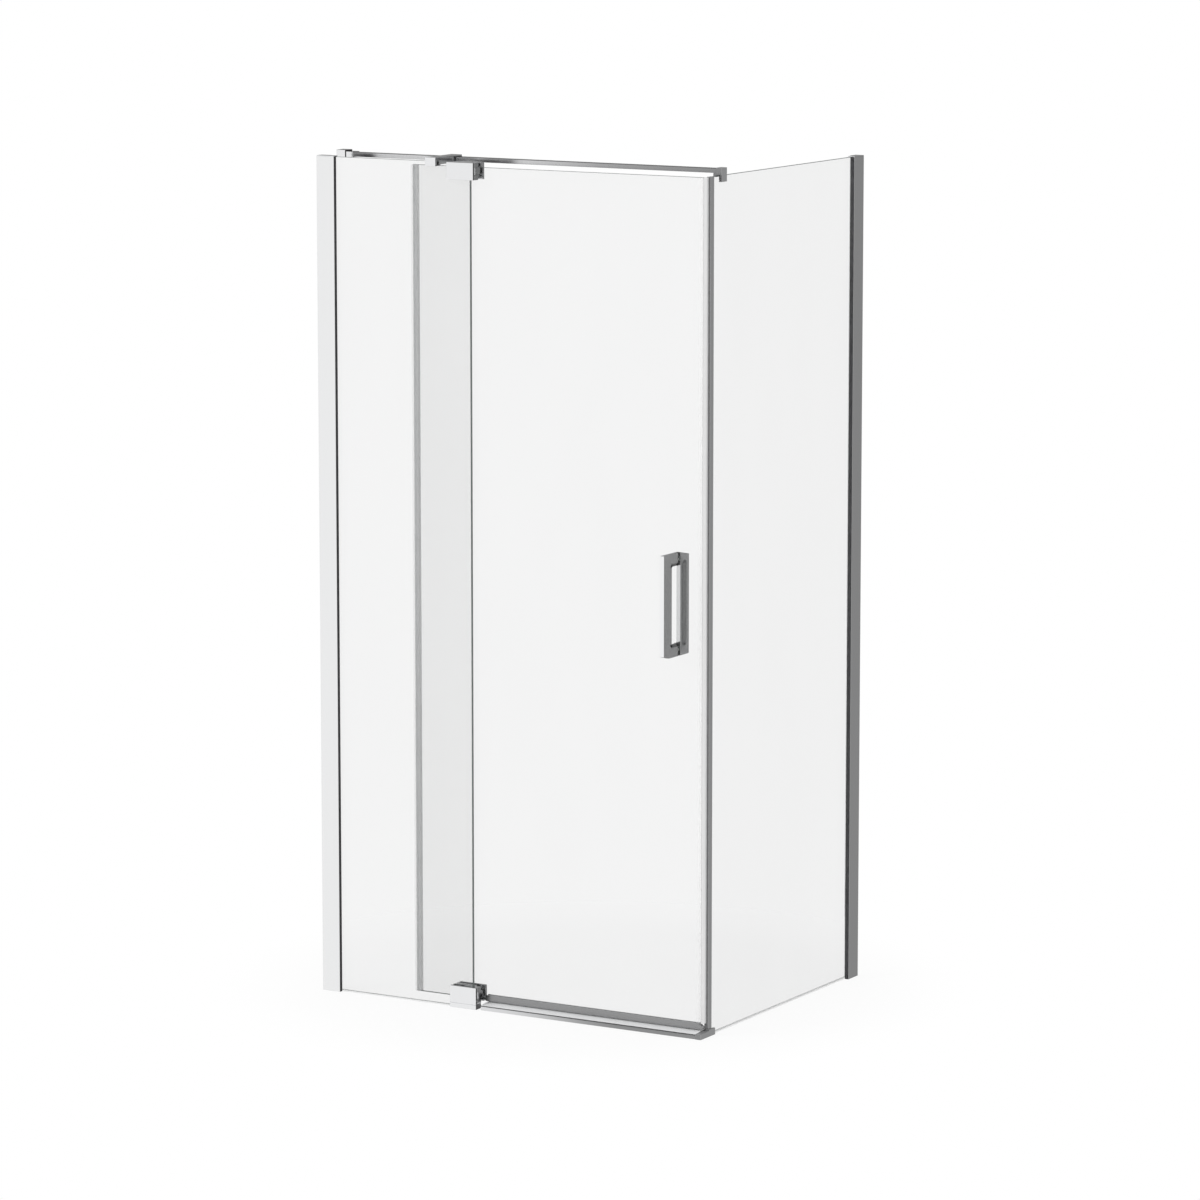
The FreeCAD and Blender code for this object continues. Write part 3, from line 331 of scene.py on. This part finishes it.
def add_key_light():
    """A softbox at the front left, which polished metal doesn't mirror."""
    data = bpy.data.lights.new("key_softbox", "AREA")
    data.shape = "RECTANGLE"
    data.size = data.size_y = KEY_SIZE
    data.energy = KEY_POWER
    lamp = bpy.data.objects.new("key_softbox", data)
    lamp.location = KEY_PLACE
    lamp.rotation_mode = "QUATERNION"
    lamp.rotation_quaternion = (KEY_AIM - KEY_PLACE).to_track_quat("-Z", "Y")
    lamp.visible_glossy = False
    bpy.context.scene.collection.objects.link(lamp)


def lay_floor():
    """A pale floor that keeps a faint shadow near the part and turns white away from it."""
    finish = Finish("pale_floor")
    place = finish.place()
    grain = finish.ramp(finish.noise(place, 2.0), [(0.0, (FLOOR_DARKEST,) * 3), (1.0, (FLOOR_PALEST,) * 3)])
    matt = finish.node("ShaderNodeBsdfDiffuse", inputs={"Color": grain})
    bright = finish.node("ShaderNodeEmission", inputs={"Color": WHITE, "Strength": 1.0})
    away = finish.node("ShaderNodeVectorMath", {"operation": "LENGTH"}, {0: place}, output="Value")
    whiteness = finish.fade(away, SHADOW_FADES_FROM, SHADOW_ENDS_AT, WHITENESS_IN_SHADOW, 1.0)
    seen = finish.node("ShaderNodeLightPath", output="Is Camera Ray")
    mixed = finish.node("ShaderNodeMixShader", inputs={0: seen * whiteness, 1: matt, 2: bright})
    finish.node("ShaderNodeOutputMaterial", inputs={"Surface": mixed})
    mesh = bpy.data.meshes.new("floor")
    half = FLOOR_SIZE / 2
    ring = [(-half, -half, 0), (half, -half, 0), (half, half, 0), (-half, half, 0)]
    mesh.from_pydata(ring, [], [(0, 1, 2, 3)])
    mesh.materials.append(finish.material)
    floor = bpy.data.objects.new("floor", mesh)
    floor.location.z = -FLOOR_GAP
    floor.visible_glossy = False
    bpy.context.scene.collection.objects.link(floor)


# ------------------------------------------------------------------ plated finishes

# How fine the marks of brushing and wiping are along x, y and z, in grains per metre.
WIPED_UPWARDS = (260.0, 260.0, 6.0)
BUFFED = (260.0, 260.0, 260.0)
BRUSHED_ALONG = (4.0, 900.0, 900.0)
BRUSHED_LONGER = (3.0, 900.0, 900.0)
BRUSHED_UPWARDS = (900.0, 900.0, 3.0)

# Ways that a surface can face, each as an axis and a sign.
FRONT = (Y, -1.0)
RIGHT = (X, 1.0)


def polished_chrome():
    """Bright plating with a faint cloudiness and hairline wipe marks."""
    finish = Finish("polished_chrome")
    cloud = finish.noise(finish.place(), 14.0, detail=4.0)
    hairlines = finish.marks(WIPED_UPWARDS, detail=2.0)
    colour = finish.ramp(cloud, [(0.30, (0.775, 0.782, 0.795)), (0.75, (0.815, 0.820, 0.828))])
    roughness = 0.07 + 0.06 * cloud + 0.05 * hairlines
    return finish.surface(Base_Color=colour, Metallic=1.0, Roughness=roughness)


def plating_with_painted_shade(name, stretch, way, there, elsewhere, painted_top_shade=None):
    """
    Plating with painted shade: one tone where the surface faces one way, and another tone elsewhere, so
    that the difference is painted shade on that side. Where a top tone is given, its top is matt and
    painted in that tone as shade.
    """
    finish = Finish(name)
    marks = finish.marks(stretch)
    axis, sign = way
    facing = sign * finish.facing()[axis]
    # Painted shade: the faces turned the given way get their own tone.
    tone = finish.fade(facing, TURNED_FROM, TURNED_FULLY, elsewhere, there) + 0.05 * marks
    metallic = 1.0
    if painted_top_shade is not None:
        # Painted shade on the top, which is also matt.
        dull = 0.93 * finish.top_share()
        tone = tone * (1.0 - dull) + painted_top_shade * dull
        metallic = 1.0 - dull
    return finish.surface(
        Base_Color=finish.cool_grey(tone), Metallic=metallic, Roughness=0.12 + 0.10 * marks,
        Normal=finish.bump(marks, 0.03 * MM, 0.3))


RAIL_INSIDE = PANE_BACK - 2.5 * MM
# How far the painted shade at the rail's hinge end reaches.
RAIL_SHADED_END = 14.0 * MM


def rail_plating():
    """
    Brushed plating of the door's bottom rail. Its top, its inside and its latch end are painted paler and
    matt, as painted light, and painted shade darkens it near the hinge.
    """
    finish = Finish("rail_plating")
    marks = finish.marks(BRUSHED_ALONG)
    along, depth, _ = finish.split(finish.place())
    rightness, backness, _ = finish.facing()
    top = finish.top_share()
    inside = (depth > RAIL_INSIDE) * (-backness > SQUARELY)
    end = (rightness > MOSTLY) * (1.0 - top)
    pale = top + inside * (1.0 - top) * (1.0 - end)
    dull = pale + end
    # Painted shade near the hinge end.
    shade = finish.fade(along, RAIL_START, RAIL_START + RAIL_SHADED_END, 0.25, 1.0)
    # Painted light: the top, the inside and the end get paler tones.
    tone = ((0.25 + 0.06 * marks) * (1.0 - dull) + 0.50 * pale + 0.42 * end) * shade
    return finish.surface(
        Base_Color=finish.cool_grey(tone), Metallic=1.0 - 0.9 * dull, Roughness=0.20 + 0.10 * marks,
        Normal=finish.bump(marks, 0.03 * MM, 0.4))


# Painted reflections on the header bar, as brighter stretches along it: places from 0 at the part's left to
# 1 at its right, and the tones there.
HEADER_PAINTED_REFLECTIONS = (
    (0.05, 0.30), (0.09, 0.27), (0.11, 0.60), (0.26, 0.66), (0.31, 0.27), (0.36, 0.30),
    (0.375, 0.43), (0.40, 0.27), (0.46, 0.26), (0.483, 0.55), (0.495, 0.60), (0.59, 0.49),
    (0.69, 0.35), (0.83, 0.27), (0.98, 0.24),
)


def header_plating():
    """Brushed plating of the header bar, with painted reflections as brighter stretches along it, and
    painted shade on its top.
    """
    finish = Finish("header_plating")
    marks = finish.marks(BRUSHED_LONGER)
    along = finish.split(finish.place())[X]
    share = finish.fade(along, PART_LEFT, PART_RIGHT, 0.0, 1.0, curve="LINEAR")
    # Painted reflections: brighter stretches along the bar.
    painted_reflections = finish.ramp(share, [(place, cool(tone)) for place, tone in HEADER_PAINTED_REFLECTIONS])
    brushed = finish.blend(0.16 * marks, painted_reflections, (0.62, 0.62, 0.63))
    # Painted shade on the top.
    colour = finish.blend(0.85 * finish.top_share(), brushed, (0.16, 0.161, 0.163))
    return finish.surface(
        Base_Color=colour, Metallic=1.0, Roughness=0.18 + 0.10 * marks,
        Normal=finish.bump(marks, 0.02 * MM, 0.3))


HOLLOW_RIM = 4.4 * MM
INNER_GRIP_FROM = PANE_BACK - 1.0 * MM


def grip_plating():
    """
    Bright plating of the grips, with painted shade: the bevels on the window's ends and the finger hollow
    of the inner grip are painted darker, and so is its front behind the glass.
    """
    finish = Finish("grip_plating")
    cloud = finish.marks(WIPED_UPWARDS)
    rightness, backness, upness = finish.facing()
    along, depth, _ = finish.split(finish.place())
    from_middle = along - GRIP_MIDDLE
    inner = depth > INNER_GRIP_FROM
    bevel = (rightness > MOSTLY) * (upness * upness > TILTED ** 2)
    hollow = inner * (from_middle * from_middle < HOLLOW_RIM ** 2) * (rightness * rightness > MOSTLY)
    behind_glass = inner * (-backness > SQUARELY)
    # Painted shade on the bevels, in the finger hollow and on the inner grip's front behind the glass.
    shade = (1.0 - 0.55 * bevel) * (1.0 - 0.42 * hollow) * (1.0 - 0.12 * behind_glass)
    tone = (0.83 + 0.05 * cloud) * shade
    return finish.surface(Base_Color=finish.cool_grey(tone), Metallic=1.0, Roughness=0.08 + 0.09 * cloud)


BRACKET_GROOVE = BRACKET_START + 25.5 * MM
HALF_GROOVE = 1.3 * MM


def bracket_plating():
    """Bright plating of the wall bracket, with painted shade on its tops and in the groove of its sleeve.
    """
    finish = Finish("bracket_plating")
    marks = finish.marks(BUFFED)
    from_groove = finish.split(finish.place())[X] - BRACKET_GROOVE
    groove = from_groove * from_groove < HALF_GROOVE ** 2
    # Painted shade on the tops and in the groove of the sleeve.
    tone = (0.77 + 0.05 * marks) * (1.0 - 0.60 * finish.top_share()) * (1.0 - 0.86 * groove)
    return finish.surface(Base_Color=finish.cool_grey(tone), Metallic=1.0, Roughness=0.08 + 0.10 * marks)


SILL_FADE = 400.0 * MM
SILL_GROOVE_LOW = 8.7 * MM
SILL_GROOVE_HIGH = 11.2 * MM


def sill_plating():
    """
    Satin sill with painted light and shade: its front is painted darker towards the latch side, its top is
    painted pale and is matt, and painted shade darkens the groove along its front.
    """
    finish = Finish("sill_plating")
    marks = finish.marks(BRUSHED_ALONG)
    along, _, height = finish.split(finish.place())
    top = finish.top_share()
    # Painted shade along the front, darker towards the latch side.
    front = finish.fade(along, SILL_START, SILL_START + SILL_FADE, 0.67, 0.24)
    groove = (height > SILL_GROOVE_LOW) * (height < SILL_GROOVE_HIGH) * (1.0 - top)
    # The top's pale tone is painted light, and the groove's darkening is painted shade.
    tone = ((front + 0.04 * marks) * (1.0 - top) + 0.93 * top) * (1.0 - 0.86 * groove)
    return finish.surface(
        Base_Color=finish.cool_grey(tone), Metallic=1.0 - 0.97 * top, Roughness=0.24 + 0.10 * marks,
        Normal=finish.bump(marks, 0.03 * MM, 0.4))


def extruded_aluminium():
    """Bright anodised extrusion with die lines along its height."""
    finish = Finish("bright_extrusion")
    die_lines = finish.marks((1100.0, 1100.0, 1.2))
    colour = finish.ramp(die_lines, [(0.2, (0.79, 0.795, 0.80)), (0.8, (0.84, 0.842, 0.845))])
    return finish.surface(
        Base_Color=colour, Metallic=1.0, Roughness=0.12 + 0.10 * die_lines,
        Normal=finish.bump(die_lines, 0.02 * MM, 0.35))


def stainless_steel():
    """Turned heads of the screws and bolts."""
    finish = Finish("turned_steel")
    marks = finish.noise(finish.place(), 700.0, detail=4.0)
    colour = finish.ramp(marks, [(0.3, (0.52, 0.525, 0.53)), (0.7, (0.66, 0.662, 0.665))])
    return finish.surface(
        Base_Color=colour, Metallic=1.0, Roughness=0.18 + 0.15 * marks,
        Normal=finish.bump(marks, 0.03 * MM, 0.5))


# ------------------------------------------------------------------ glass, seals and plastics

EDGE_MARK = "pane_edge"

# How far from a face or an edge of a pane a place still counts as on it.
NEAR = 1.0 * MM

# The foot of the latch corner, where the rail and the sill's end cap surround the panes.
CORNER_LEFT = LATCH_EDGE - 8.5 * MM
CORNER_BACK = PANE_BACK + 29.5 * MM
CORNER_TOP = RAIL_TOP + 1.5 * MM

# Below this height the panes' edges are paler.
LOW_EDGES_END = 6.0 * MM


def clear_glass():
    """
    Clear pane: nearly all light passes through its faces, and its edges look dark, but less so near the
    floor and in the pivot seal. The part of the door that is hidden behind the fixed pane gets a little
    painted shade.
    """
    finish = Finish("clear_pane")
    mark = finish.node("ShaderNodeAttribute", {"attribute_name": EDGE_MARK}, output="Fac")
    along, depth, height = finish.split(finish.place())
    in_corner = (along > CORNER_LEFT) * (depth < CORNER_BACK) * (height < CORNER_TOP)
    edge = mark * (1.0 - in_corner)
    slant = finish.node("ShaderNodeLayerWeight", inputs={"Blend": 0.5}, output="Facing")
    cube = slant * slant * slant
    gloss = cube * cube
    ripple = finish.marks((6.0, 6.0, 2.0), detail=1.0)
    on_door = (depth > PANE_FRONT - NEAR) * (depth < PANE_BACK + NEAR)
    behind_fixed = on_door * (along < FREE_EDGE)
    in_seal = on_door * (along > HINGE_EDGE - NEAR) * (along < HINGE_EDGE + NEAR)
    near_floor = height < LOW_EDGES_END
    # behind_fixed adds painted shade to the door where it lies behind the fixed pane.
    face_alpha = 0.070 + 0.35 * gloss + 0.012 * ripple + 0.013 * behind_fixed
    edge_alpha = 0.93 - 0.42 * near_floor - 0.35 * in_seal
    edge_cloud = finish.marks((400.0, 400.0, 8.0))
    edge_colour = finish.ramp(edge_cloud, [(0.25, (0.105, 0.125, 0.120)), (0.75, (0.165, 0.185, 0.180))])
    return finish.surface(
        Base_Color=finish.blend(edge, (0.30, 0.31, 0.31), edge_colour),
        Roughness=0.03 + 0.12 * edge,
        Alpha=face_alpha * (1.0 - edge) + edge_alpha * edge,
        IOR=1.5)


def clear_seal(name, milky, opacity, beyond=None, step=0.0):
    """
    Soft clear strip with extrusion streaks along its height. Its opacity grows by step
    where x is larger than beyond, in metres.
    """
    finish = Finish(name)
    streaks = finish.marks((1300.0, 1300.0, 2.0))
    dark = tuple(0.88 * tone for tone in milky)
    colour = finish.ramp(streaks, [(0.25, dark), (0.75, milky)])
    alpha = opacity - 0.05 + 0.1 * streaks
    if beyond is not None:
        alpha = alpha + (finish.split(finish.place())[X] > beyond) * step
    bump = finish.bump(streaks, 0.05 * MM, 0.4)
    return finish.surface(Base_Color=colour, Roughness=0.28, Alpha=alpha, Normal=bump)


def black_rubber():
    """Matt black rubber with fine ribs and a dusty bloom."""
    finish = Finish("black_rubber")
    ribs = finish.node("ShaderNodeTexWave", {"wave_type": "BANDS", "bands_direction": "Y"},
                       {"Vector": finish.place(), "Scale": 160.0, "Distortion": 0.0})
    bloom = finish.noise(finish.place(), 90.0, detail=4.0)
    colour = finish.ramp(bloom, [(0.3, (0.030, 0.030, 0.032)), (0.8, (0.065, 0.065, 0.068))])
    bump = finish.bump(ribs, 0.05 * MM, 0.3)
    return finish.surface(Base_Color=colour, Roughness=0.55 + 0.2 * bloom, Normal=bump)


def nylon():
    """White plastic of the blocks, bushes and bushings, with a fine grain."""
    finish = Finish("white_nylon")
    speck = finish.noise(finish.place(), 500.0, detail=3.0)
    colour = finish.ramp(speck, [(0.3, (0.74, 0.74, 0.72)), (0.7, (0.82, 0.82, 0.80))])
    bump = finish.bump(speck, 0.02 * MM, 0.4)
    return finish.surface(Base_Color=colour, Roughness=0.42 + 0.1 * speck, Normal=bump)


def bonded_magnet():
    """Grey flexible magnet, whose grain is drawn out along its height."""
    finish = Finish("bonded_magnet")
    speck = finish.marks((900.0, 900.0, 60.0))
    colour = finish.ramp(speck, [(0.3, (0.17, 0.17, 0.175)), (0.7, (0.24, 0.24, 0.245))])
    bump = finish.bump(speck, 0.03 * MM, 0.4)
    return finish.surface(Base_Color=colour, Roughness=0.6 + 0.1 * speck, Normal=bump)


# ------------------------------------------------------------------ pieces

ARRIS = 0.5 * MM
WELD = 0.001 * MM
FLAT_UNDER = math.radians(0.6)
SMOOTH_UNDER = math.radians(35)
SHARP_OVER = math.radians(50)
EASED_STEPS = 2
HARDWARE_EASE = 0.4 * MM
PROFILE_EASE = 0.3 * MM


def copy_of(node):
    """A clean copy of a CAD node's mesh, as a bmesh, with its flat faces whole."""
    mesh = bmesh.new()
    mesh.from_mesh(NODES[node].data)
    bmesh.ops.remove_doubles(mesh, verts=mesh.verts, dist=WELD)
    bmesh.ops.dissolve_limit(mesh, angle_limit=FLAT_UNDER, verts=mesh.verts, edges=mesh.edges)
    return mesh


def as_data(name, mesh):
    """Turn a bmesh into plain mesh data."""
    data = bpy.data.meshes.new(name)
    mesh.to_mesh(data)
    mesh.free()
    return data


def paint(data, finish):
    """Give mesh data one finish."""
    data.materials.clear()
    data.materials.append(finish)


def add_piece(name, data, node, finish):
    """Show mesh data in place of a CAD node, on the same body."""
    paint(data, finish)
    piece = bpy.data.objects.new(name, data)
    bpy.context.scene.collection.objects.link(piece)
    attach(piece, BODY_OF[node])
    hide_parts(node)
    return piece


def ease_nodes(finish, width, *nodes):
    """Show CAD nodes with the sharpness taken off their edges, as polishing does."""
    for node in nodes:
        mesh = copy_of(node)
        for face in mesh.faces:
            face.smooth = True
        for edge in mesh.edges:
            edge.smooth = len(edge.link_faces) == 2 and edge.calc_face_angle(0.0) < SMOOTH_UNDER
        name = "eased_" + node
        piece = add_piece(name, as_data(name, mesh), node, finish)
        bevel = piece.modifiers.new("eased_edges", "BEVEL")
        bevel.width = width
        bevel.segments = EASED_STEPS
        bevel.limit_method = "ANGLE"
        bevel.angle_limit = SHARP_OVER
        bevel.use_clamp_overlap = False
        bevel.harden_normals = True


def pane(node, finish, thin_axis):
    """A pane with arrised edges. Its narrow faces are marked as edge."""
    mesh = copy_of(node)
    sharp = [edge for edge in mesh.edges if edge.calc_face_angle(0.0) > SHARP_OVER]
    bmesh.ops.bevel(
        mesh, geom=sharp, offset=ARRIS, offset_type="OFFSET", segments=1, affect="EDGES", profile=0.5)
    edge_mark = mesh.faces.layers.float.new(EDGE_MARK)
    for face in mesh.faces:
        face[edge_mark] = 0.0 if abs(face.normal[thin_axis]) > SQUARELY else 1.0
    name = "polished_" + node
    add_piece(name, as_data(name, mesh), node, finish)


# ------------------------------------------------------------------ screws and bolts

SCREW_SEED = 7
ROUND_SIDES = 32
KEY_SIDES = 6
TOWARDS_BACK = Vector((0, 1, 0))
TOWARDS_LEFT = Vector((-1, 0, 0))
FASTENER_SOCKETS = {
    "Head radius": "Float", "Head height": "Float", "Edge": "Float", "Shank radius": "Float",
    "Length": "Float", "Key radius": "Float", "Key depth": "Float", "Seed": "Int", "Finish": "Material",
}
PAN_HEAD = {
    "Head radius": 3.6 * MM, "Head height": 2.0 * MM, "Edge": 0.9 * MM, "Shank radius": 2.0 * MM,
    "Key radius": 1.5 * MM, "Key depth": 1.1 * MM,
}
CAP_HEAD = {
    "Head radius": 5.0 * MM, "Head height": 3.5 * MM, "Edge": 0.5 * MM, "Shank radius": 3.0 * MM,
    "Key radius": 2.3 * MM, "Key depth": 1.7 * MM,
}


def fastener_tree():
    """
    Geometry nodes that put a screw with a key socket on every point, and the identifiers
    of their inputs. A point is the middle of the face of the head, and its attribute faces
    is where that face looks.
    """
    tree = bpy.data.node_groups.new("fasteners", "GeometryNodeTree")
    identifiers = {}
    tree.interface.new_socket("Geometry", in_out="INPUT", socket_type="NodeSocketGeometry")
    for name, kind in FASTENER_SOCKETS.items():
        socket = tree.interface.new_socket(name, in_out="INPUT", socket_type="NodeSocket" + kind)
        identifiers[name] = socket.identifier
    tree.interface.new_socket("Geometry", in_out="OUTPUT", socket_type="NodeSocketGeometry")
    graph = Graph(tree)
    group_input = tree.nodes.new("NodeGroupInput")
    given = {socket.name: Wire(graph, socket) for socket in group_input.outputs if socket.name}

    def turned(radius_top, radius, low, high, sides=ROUND_SIDES):
        """A round solid between two levels on the screw's own axis."""
        values = {"Vertices": sides, "Radius Top": radius_top, "Radius Bottom": radius, "Depth": high - low}
        solid = graph.node("GeometryNodeMeshCone", inputs=values)
        level = graph.node("ShaderNodeCombineXYZ", inputs={"Z": low})
        return graph.node("GeometryNodeTransform", inputs={"Geometry": solid, "Translation": level})

    head, under_head, edge = given["Head radius"], -given["Head height"], given["Edge"]
    shank, key = given["Shank radius"], given["Key radius"]
    solids = [
        turned(head, head, under_head, -edge),
        turned(head - edge, head, -edge, 0.0),
        turned(shank, shank, -given["Length"], under_head),
    ]
    whole = graph.node("GeometryNodeMeshBoolean", {"operation": "UNION", "solver": "EXACT"}, {
        "Mesh 2": graph.node("GeometryNodeJoinGeometry", inputs={0: solids}), "Self Intersection": True})
    screw = graph.node("GeometryNodeMeshBoolean", {"operation": "DIFFERENCE", "solver": "EXACT"}, {
        "Mesh 1": whole, "Mesh 2": turned(key, key, -given["Key depth"], given["Key depth"], KEY_SIDES)})

    faces = graph.node("GeometryNodeInputNamedAttribute", {"data_type": "FLOAT_VECTOR"}, {"Name": "faces"})
    upright = graph.node("FunctionNodeAlignRotationToVector", {"axis": "Z"}, {"Vector": faces})
    angle = graph.node("FunctionNodeRandomValue", {"data_type": "FLOAT"}, {
        "Min": 0.0, "Max": math.tau, "Seed": given["Seed"]}, output=1)
    spin = graph.node("FunctionNodeAxisAngleToRotation", inputs={"Axis": (0.0, 0.0, 1.0), "Angle": angle})
    rotation = graph.node("FunctionNodeRotateRotation", {"rotation_space": "LOCAL"}, {
        "Rotation": upright, "Rotate By": spin})
    placed = graph.node("GeometryNodeInstanceOnPoints", inputs={
        "Points": given["Geometry"], "Instance": screw, "Rotation": rotation})
    real = graph.node("GeometryNodeRealizeInstances", inputs={"Geometry": placed})
    dressed = graph.node("GeometryNodeSetMaterial", inputs={"Geometry": real, "Material": given["Finish"]})
    graph.node("NodeGroupOutput", inputs={"Geometry": dressed})
    return tree, identifiers


def by_height(box):
    """Order solids by height, and those that are level from left to right."""
    low = box[0]
    return round(low.z / MM), low.x


def islands(node):
    """The low and high corners of every separate solid in a CAD node, in order of height."""
    mesh = copy_of(node)
    waiting = set(mesh.verts)
    boxes = []
    while waiting:
        front = [waiting.pop()]
        solid = []
        while front:
            vertex = front.pop()
            solid.append(vertex.co.copy())
            for edge in vertex.link_edges:
                neighbour = edge.other_vert(vertex)
                if neighbour in waiting:
                    waiting.remove(neighbour)
                    front.append(neighbour)
        low = Vector(min(places) for places in zip(*solid))
        high = Vector(max(places) for places in zip(*solid))
        boxes.append((low, high))
    mesh.free()
    return sorted(boxes, key=by_height)


def fasteners(node, way, finish, head):
    """Screws in place of a CAD node's plain ones, which are all alike and look the same way."""
    places = []
    for low, high in islands(node):
        length = abs((high - low).dot(way))
        places.append((low + high) / 2 + way * length / 2)
    mesh = bpy.data.meshes.new("places_of_" + node)
    mesh.from_pydata(places, [], [])
    attribute = mesh.attributes.new("faces", "FLOAT_VECTOR", "POINT")
    for entry in attribute.data:
        entry.vector = way
    holder = bpy.data.objects.new("turned_" + node, mesh)
    bpy.context.scene.collection.objects.link(holder)
    modifier = holder.modifiers.new("fasteners", "NODES")
    modifier.node_group, identifiers = FASTENERS
    values = {"Length": length, "Seed": SCREW_SEED, "Finish": finish, **head}
    for name, value in values.items():
        modifier[identifiers[name]] = value
    evaluated = holder.evaluated_get(bpy.context.evaluated_depsgraph_get())
    plain = bpy.data.meshes.new_from_object(evaluated)
    bpy.data.objects.remove(holder)
    add_piece("turned_" + node, plain, node, finish)


def dress_nodes(finish, *nodes):
    """Give a finish to CAD nodes that are shown as they are."""
    for node in nodes:
        paint(NODES[node].data, finish)


# ------------------------------------------------------------------ the scene

place_camera()
light_studio()
lay_floor()
add_key_light()
bpy.context.scene.view_settings.view_transform = "Standard"

# These platings have painted shade: the strike, the return saddle and the sill end cap are painted darker
# on their fronts, the cap also on its top, and the hinge blocks and pivot parts on their right faces.
strike_finish = plating_with_painted_shade("strike_plating", BRUSHED_UPWARDS, FRONT, there=0.24, elsewhere=0.84)
chrome_with_painted_shade = plating_with_painted_shade("chrome_with_painted_shade", BUFFED, FRONT, there=0.22, elsewhere=0.90)
cap_finish = plating_with_painted_shade("cap_plating", BUFFED, FRONT, there=0.22, elsewhere=0.90, painted_top_shade=0.18)
block_finish = plating_with_painted_shade("block_plating", WIPED_UPWARDS, RIGHT, there=0.25, elsewhere=0.77)
pivot_finish = plating_with_painted_shade("pivot_plating", WIPED_UPWARDS, RIGHT, there=0.56, elsewhere=0.77)
extrusion = extruded_aluminium()
steel = stainless_steel()
glass = clear_glass()
latch_strip = clear_seal(
    "latch_strip", (0.98, 0.98, 0.98), opacity=0.06, beyond=LATCH_EDGE + NEAR / 2, step=0.88)
pivot_strip = clear_seal(
    "pivot_strip", (0.72, 0.725, 0.73), opacity=0.15, beyond=HINGE_EDGE - NEAR, step=0.25)
floor_strip = clear_seal("floor_strip", (0.88, 0.885, 0.89), opacity=0.16)
FASTENERS = fastener_tree()

pane("fixed_glass", glass, Y)
pane("door_glass", glass, Y)
pane("return_glass", glass, X)

ease_nodes(polished_chrome(), HARDWARE_EASE, "panel_arm", "left_profile_cap", "back_profile_cap")
ease_nodes(bracket_plating(), HARDWARE_EASE, "header_wall_bracket")
ease_nodes(block_finish, HARDWARE_EASE, "top_hinge_cover", "bottom_hinge_cover", "bottom_hinge_foot")
ease_nodes(pivot_finish, HARDWARE_EASE, "top_hinge_body", "bottom_hinge_body", "top_door_clamp",
           "bottom_door_clamp", "top_door_clamp_plate", "bottom_door_clamp_plate")
ease_nodes(grip_plating(), HARDWARE_EASE, "outer_grip", "inner_grip")
ease_nodes(chrome_with_painted_shade, HARDWARE_EASE, "return_saddle")
ease_nodes(cap_finish, HARDWARE_EASE, "sill_end_cap")

ease_nodes(extrusion, PROFILE_EASE, "left_wall_profile", "back_wall_profile")
ease_nodes(header_plating(), PROFILE_EASE, "header_bar")
ease_nodes(sill_plating(), PROFILE_EASE, "sill")
ease_nodes(rail_plating(), PROFILE_EASE, "door_bottom_rail")
ease_nodes(strike_finish, PROFILE_EASE, "strike_profile")

fasteners("left_profile_screws", TOWARDS_BACK, steel, PAN_HEAD)
fasteners("back_profile_screws", TOWARDS_LEFT, steel, PAN_HEAD)
fasteners("hinge_cover_bolts", TOWARDS_BACK, steel, CAP_HEAD)
fasteners("door_clamp_bolts", TOWARDS_BACK, steel, CAP_HEAD)

dress_nodes(black_rubber(), "left_glazing_gaskets", "back_glazing_gaskets", "panel_arm_liner",
            "panel_arm_pads", "return_saddle_pads", "top_hinge_gaskets", "bottom_hinge_gaskets",
            "top_door_gaskets", "bottom_door_gaskets", "grip_pads")
dress_nodes(nylon(), "left_setting_blocks", "back_setting_blocks", "top_pivot_bush",
            "bottom_pivot_bush", "fixed_glass_bushings", "door_glass_bushings")
dress_nodes(extrusion, "left_clamping_insert", "back_clamping_insert")
dress_nodes(steel, "grip_bolts", "top_pivot_pin", "bottom_pivot_pin", "header_grub_screws")
dress_nodes(bonded_magnet(), "strike_magnet", "door_magnet")
dress_nodes(latch_strip, "door_latch_seal")
dress_nodes(pivot_strip, "door_pivot_seal")
dress_nodes(floor_strip, "fixed_glass_floor_seal", "return_glass_floor_seal", "door_sweep")
